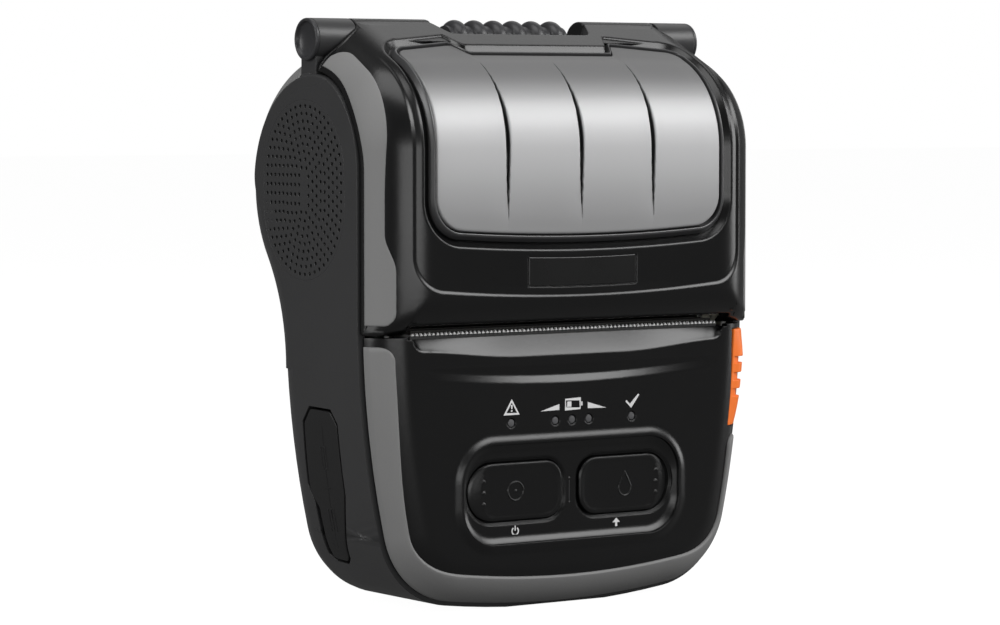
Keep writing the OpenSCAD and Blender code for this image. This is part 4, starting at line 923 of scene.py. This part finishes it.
def stroke(path, width, y, closed=False):
    """A printed line of constant width along a path in X and Z, a thin closed part. At a corner
    it widens by one over the cosine of half the turn."""
    path = np.asarray(path, float)
    way = np.roll(path, -1, 0) - np.roll(path, 1, 0)
    before = path - np.roll(path, 1, 0)
    if not closed:
        way[0], way[-1] = path[1] - path[0], path[-1] - path[-2]
        before[0] = way[0]
    unit, last_unit = (v / np.linalg.norm(v, axis=1)[:, None] for v in (way, before))
    spread = 1 / np.clip(np.abs(np.sum(unit * last_unit, 1)), 0.4, 1)[:, None]
    side = np.stack([-unit[:, 1], unit[:, 0]], -1) * spread * width / 2
    back = y + ink_thick
    rings = np.stack([flat_path(path + side, y), flat_path(path - side, y),
                      flat_path(path - side, back), flat_path(path + side, back)], 1)
    return ring_stack(rings) if closed else capped(rings)


def patch(corners, y):
    """A printed patch between corners in X and Z, a thin closed part."""
    return stack_of([(corners, y + ink_thick), (corners, y)])


def box_patch(x, z, y):
    """A printed rectangle between limits in X and Z."""
    return patch([(x[0], z[0]), (x[1], z[0]), (x[1], z[1]), (x[0], z[1])], y)


high_y, low_y = face_y - 0.03, key_floor - 0.03
triangle = [stroke([(-18.3, 43.5), (-14.7, 43.5), (-16.5, 46.4)], 0.4, high_y, True),
            patch([(-16.68, 44.6), (-16.32, 44.6), (-16.26, 45.5), (-16.74, 45.5)], high_y),
            box_patch((-16.7, -16.3), (44.0, 44.36), high_y)]
wedges = [patch([(-8.7, 43.7), (-3.6, 43.8), (-3.6, 45.1)], high_y),
          patch([(4.2, 43.8), (9.3, 43.7), (4.2, 45.2)], high_y)]
battery = [stroke([(-1.9, 43.9), (2.1, 43.9), (2.1, 46.0), (-1.9, 46.0)], 0.36, high_y, True),
           box_patch((2.35, 2.75), (44.5, 45.4), high_y),
           box_patch((-1.45, -0.3), (44.35, 45.55), high_y)]
tick = [stroke([(14.8, 45.0), (16.1, 43.75), (18.4, 46.3)], 0.44, high_y)]
on_sign = [stroke(arc((-15, 17.55), 0.85, 125, 415, 30, True), 0.3, low_y),
           box_patch((-15.14, -14.86), (17.6, 18.75), low_y)]
arrow = [patch([(11.7, 17.7), (13.8, 17.7), (12.75, 18.7)], low_y),
         box_patch((12.45, 13.05), (16.8, 17.72), low_y)]
ink = finish("white_ink", (0.62, 0.62, 0.62), 0.5, grain=0.003, level=0.3, edge=0)
piece("printed_signs", triangle + wedges + battery + tick + on_sign + arrow, ink, "housing")
# A grey line with a dot at both ends stands between the keys.
piece("centre_mark", [stroke([(-0.3, 23.6), (-0.3, 28.0)], 0.16, key_floor - 0.02)]
      + [dome(-0.3, z, key_floor, 0.22, 0.1) for z in (28.5, 23.1)], rim_grey, "housing")

# Lower bumper
# A grey rubber edge is glued round the panel's rim. Its outer border is bevelled, narrowing in
# two steps, and its upper ends are rounded.
rubber_top, rubber_in, rubber_high = 60.1, 2.03, 0.74
turns = np.concatenate([np.linspace(0.02, 1, 90)[:-1], np.linspace(1, 2, 44)[:-1],
                        np.linspace(2, 3, 40)])
heights = outline_at(turns, rubber_in, rubber_top)[:, 1]


def turn_at(z):
    """The turn at which the rubber's line lies at a height."""
    return np.interp(z, heights[::-1], turns[::-1])


def grid_on(side, t, angle, r):
    """Points at an angle and radius about the line along the panel's rounded edge, from the
    outline drawn in by the sine's share, and Y by the cosine's."""
    plane = outline_at(t[:, None] + 0 * angle, edge_round - r * np.sin(angle), rubber_top)
    return np.stack([side * plane[..., 0], edge_y - r * np.cos(angle), plane[..., 1]], -1)


def bumper_grid(side, stop):
    """Grid over half of the bumper, from turn stop to the middle of the bottom, and the grid of
    its back. Across it the angle round the panel's edge runs from the outer border to the inner
    one. The rubber rises to its full height over the bevel and falls again at the inner border."""
    first = outline_at(stop, rubber_in, rubber_top)[1]
    t = np.concatenate([turn_at(first - np.array([0, 0.04, 0.16, 0.4, 0.8, 1.4])),
                        turns[turns > turn_at(first - 2.0)]])
    fade = np.clip(first - outline_at(t, rubber_in, rubber_top)[:, 1], 0, 3)
    wide = 5.95 - 1.1 * ease(0.25, 1, t) + 2.6 * ease(1, 2, t) - rolled_edge(fade, 3)
    inner, outer = np.arcsin((edge_round - wide) / skin_r)[:, None], math.radians(69.5)
    step = (0.19 - 0.03 * ease(0.52, 0.56, t) - 0.03 * ease(0.93, 0.97, t))[:, None]
    line, soft = outer - step, 0.045
    low = np.concatenate([outer - np.array([0, 0.012, 0.03]) + 0 * step, line + 0.02, line, line - 0.02], 1)
    flat = line - 0.02 + (inner + soft - line + 0.02) * np.linspace(0, 1, 12)[1:]
    angle = np.concatenate([low, flat, inner + soft * np.array([0.6, 0.25, 0.06, 0])], 1)
    rise = np.full(angle.shape, rubber_high)
    rise[:, :4] = (0.3, 0.42, 0.5, 0.72)
    rise[:, -4:] = (0.68, 0.5, 0.25, 0.02)
    rise = np.minimum(rise, rubber_high - 0.72 * rolled_edge(fade / 0.8, 1)[:, None])
    return [grid_on(side, t, angle, skin_r + rise), grid_on(side, t, angle, skin_r + 0 * rise + 0.01)]


left_skin, left_back = bumper_grid(-1, 0.02)
right_skin, right_back = bumper_grid(1, turn_at(35.6))
piece("lower_rubber", [slab(np.concatenate([left_skin, right_skin[-2::-1]]),
                            np.concatenate([left_back, right_back[-2::-1]]))],
      rubber, "housing", "lower_bumper", crease=26)

# Release button
# An orange ABS button wraps the right-hand edge. It swells downwards, has three grip notches
# and ends in a long taper, so a thumb finds it without looking.
orange = finish("orange_plastic", (0.80, 0.16, 0.012), 0.42, level=0.35, edge=0.0003, mottle=0.05)
button_back = 8.5
button_z = np.array([37.9, 38.0, 38.3, 40, 42, 44.3, 44.4, 44.5, 46.1, 46.2, 46.3, 48.0, 48.1, 48.2, 49.8,
                     49.9, 50.0, 51.9, 52.0, 52.1, 53.5, 53.6, 53.7, 56, 58, 59.5, 59.8, 59.9])
button_out = np.array([0, 0.12, 0.2, 0.45, 0.7, 0.9, 0.85, 0.1, 0.1, 0.85, 0.95, 1.0, 0.95, 0.15, 0.15,
                       0.95, 1.05, 1.1, 1.05, 0.2, 0.2, 1.15, 1.2, 0.95, 0.7, 0.55, 0.45, 0.3])
button_a = np.radians(np.concatenate([[24.2, 24.5, 25.4, 27], np.linspace(29, 58, 9),
                                      [60.5, 62, 62.8, 63.2]]))
shoulder = np.concatenate([[0.0, 0.5, 0.85, 1], np.ones(9), [1, 0.85, 0.5, 0]])
out = 0.12 + button_out[:, None] * ease(25, 44, np.degrees(button_a)) * shoulder - 0.25 * (1 - shoulder)


def on_edge(z, angle, r):
    """Points on the right side at height z, at an angle and radius round the rounded edge. X is
    that of the side's arc, drawn in as far as the point lies from it."""
    z = z[:, None] + 0 * angle
    reach = side_r - (edge_round - r * np.sin(angle))
    x = side_x + np.sqrt(reach ** 2 - (z - side_z) ** 2)
    return np.stack([x, edge_y - r * np.cos(angle) + 0 * z, z], -1)


piece("release_cap", [slab(on_edge(button_z, button_a, skin_r + out),
                           on_edge(button_z, button_a, button_back))],
      orange, "release", "release_button", crease=30)

# Rubber flap over the sockets
# A soft charcoal flap closes the two sockets on the left. It is hinged at its front edge, and a
# nick in its rear edge lets a fingernail in. Raised bars tell the sockets apart.
knee_top = side_z + side_r * math.sin(math.radians(side_stop))


def softened(corners, radius, count=6):
    """A closed outline of 160 points with its corners rounded. Each is a parabola between two
    points as far from the corner as a circle of the radius would start."""
    here = np.asarray(corners, float)
    before, after = np.roll(here, 1, 0) - here, np.roll(here, -1, 0) - here
    reach = [np.linalg.norm(way, axis=1)[:, None] for way in (before, after)]
    one, two = before / reach[0], after / reach[1]
    half = np.arccos(np.clip(np.sum(one * two, 1), -1, 1))[:, None] / 2
    back = np.minimum.reduce([radius / np.tan(half), 0.45 * reach[0], 0.45 * reach[1]])
    t = np.linspace(0, 1, count)[None, :, None]
    curves = here[:, None] + (1 - t) ** 2 * (one * back)[:, None] + t * t * (two * back)[:, None]
    line = curves.reshape(-1, 2)
    return run(*line, line[0], count=160)


def on_side(y, z, out):
    """Points on the left side at Y and height Z, out from the skin: the side's arc and the knee's."""
    side = side_x + np.sqrt((side_r + out) ** 2 - (z - side_z) ** 2)
    knee = knee_x + np.sqrt(np.clip((knee_r + out) ** 2 - (z - knee_z) ** 2, 0, None))
    return np.stack([-np.where(z >= knee_top, side, knee), y, z], -1)


flap = softened([(2.5, 44.5), (5.5, 41.2), (6.6, 27.7), (6.3, 25.2), (4.0, 22.4), (3.7, 13.6),
                 (3.4, 11.2), (2.4, 10.9), (-1.5, 10.6), (-3.1, 11.8), (-7.3, 26.1), (-7.8, 41.4),
                 (-5.6, 44.3)], 1.3)
# The rings close in on a line up the middle of the flap.
flap_mid = np.clip(flap[:, 1], 13.5, 42)
flap_mid = np.column_stack([-1.2 - 0.055 * (flap_mid - 27), flap_mid])
flap_part = capped([on_side(*(flap + t * (flap_mid - flap)).T, out) for t, out in
                    [(0.97, -1.5), (0, -1.5), (0, -0.16), (0.012, -0.07), (0.035, -0.02), (0.07, 0),
                     (0.3, 0.02), (0.6, 0.02), (0.97, 0.02)]])


def raised(y, z):
    """A bar on the flap between limits in Y and Z, 0.12 high."""
    y, z = np.meshgrid(np.linspace(*y, 3), np.linspace(*z, 5))
    return slab(on_side(y, z, 0.12), on_side(y, z, -0.3))


bars = [((-2.2, -1.9), (31.2, 36.4)), ((-0.4, -0.1), (31.2, 36.4)), ((-1.9, -0.4), (36.1, 36.4)),
        ((-1.9, -0.4), (31.2, 31.5)), ((-2.0, 0.3), (27.0, 27.3)), ((-2.0, -1.7), (17.4, 22.4)),
        ((-0.9, -0.6), (17.4, 22.4)), ((0.2, 0.5), (17.4, 22.4))]
flap_rubber = finish("flap_rubber", (0.009, 0.009, 0.0092), 0.5, grain=0.02, pitch=1400, level=0.3)
piece("socket_flap", [flap_part] + [raised(y, z) for y, z in bars], flap_rubber, "port_flap",
      "port_cover", crease=40)

# Rear corners: rubber guards, side lips and hinge caps
# A grey rubber guard wraps each upper rear corner of the back shell. The flat side ends in a
# charcoal lip beside it, concentric with the paper bay. Dished caps close the hinge barrels.
drum_y, drum_z, drum_flat, drum_round = -0.5, 93, 21.7, 8
guard_soft, guard_proud, guard_back = 0.45, 0.12, 6.75


def on_corner(side, turn, a, q):
    """Point q from the centre line of the drum's rounded edge, at a degrees from the drum's skin
    towards the side, turned about the drum's axis by turn degrees above +Y."""
    a, turn = np.radians(a), np.radians(turn)
    r = drum_flat + q * np.cos(a)
    return np.stack([side * (cover_half - drum_round + q * np.sin(a)), drum_y + r * np.cos(turn),
                     drum_z + r * np.sin(turn)], -1)


guard_a, guard_turn = np.meshgrid(
    np.concatenate([[15, 15.3, 16.2, 18], np.linspace(21, 69, 17), [71, 72]]),
    np.concatenate([[22, 22.15, 22.5, 23.2], np.linspace(25, 73, 33), [75, 75.6, 75.9, 76]]))
guard_edge = np.minimum.reduce([(guard_a - 15) * 0.14, (guard_turn - 22) * 0.5, (76 - guard_turn) * 0.5])
guard_q = drum_round + guard_proud - rolled_edge(guard_edge, guard_soft)

# The lip keeps 24.9 from the drum's axis, draws in at its lower end, and meets the front arc of
# the back shell's edge. Its radius is the soft minimum of the two.
lip_r, lip_soft = 24.9, 0.25
lip_turn = np.linspace(-28, 126, 90)
lip_way = np.stack([np.cos(np.radians(lip_turn)), np.sin(np.radians(lip_turn))], -1)
to_shell = np.array([shell_y - drum_y, shell_z - drum_z])
lip_off = lip_way @ to_shell
lip_front = lip_off + np.sqrt(lip_off ** 2 - to_shell @ to_shell + shell_r ** 2)
lip_back = lip_r - 3.3 * (1 - ease(-28, 8, lip_turn))
lip_line = -lip_soft * np.log(np.exp(-lip_back / lip_soft) + np.exp(-lip_front / lip_soft))
lip_section = np.array([(-4.6, 2.0), (-4.6, 0.03), (-0.6, 0.02), (-0.3, 0.06), (-0.1, 0.18),
                        (-0.02, 0.36), (0, 0.6), (0, 2.0)])


def corner_lip(side):
    """The lip's section, radius from its outline and depth from the side, carried round."""
    r = lip_line[:, None] + lip_section[:, 0]
    return capped(np.stack([side * (cover_half - lip_section[:, 1] + 0 * r),
                            drum_y + r * lip_way[:, :1], drum_z + r * lip_way[:, 1:]], -1))


cap_line = [(3.8, 50.2), (3.8, 51.62), (4.6, 51.62), (4.68, 51.75), (4.68, 52.2), (4.6, 52.42),
            (4.42, 52.55), (4.2, 52.58), (4.02, 52.5), (3.92, 52.3), (3.84, 51.95), (3.6, 51.72),
            (3.0, 51.42), (2.1, 51.12), (1.1, 50.95), (0.1, 50.9)]


def hinge_cap(side):
    """A round cap from rows of its radius about the hinge pin and its distance along it."""
    return capped([np.insert(arc((hinge_y, hinge_z), r, 0, 360, 64), 0, side * x, 1)
                   for r, x in cap_line])


for side, word in ((-1, "left"), (1, "right")):
    guard = slab(on_corner(side, guard_turn, guard_a, guard_q),
                 on_corner(side, guard_turn, guard_a, guard_back))
    piece("corner_guard_" + word, [guard], rubber, "housing", "rear_bumper_" + word)
    piece("side_lip_" + word, [corner_lip(side)], charcoal, "housing", crease=50)
piece("hinge_dishes", [hinge_cap(-1), hinge_cap(1)], cap_plastic, "housing", "hinge_caps", crease=45)
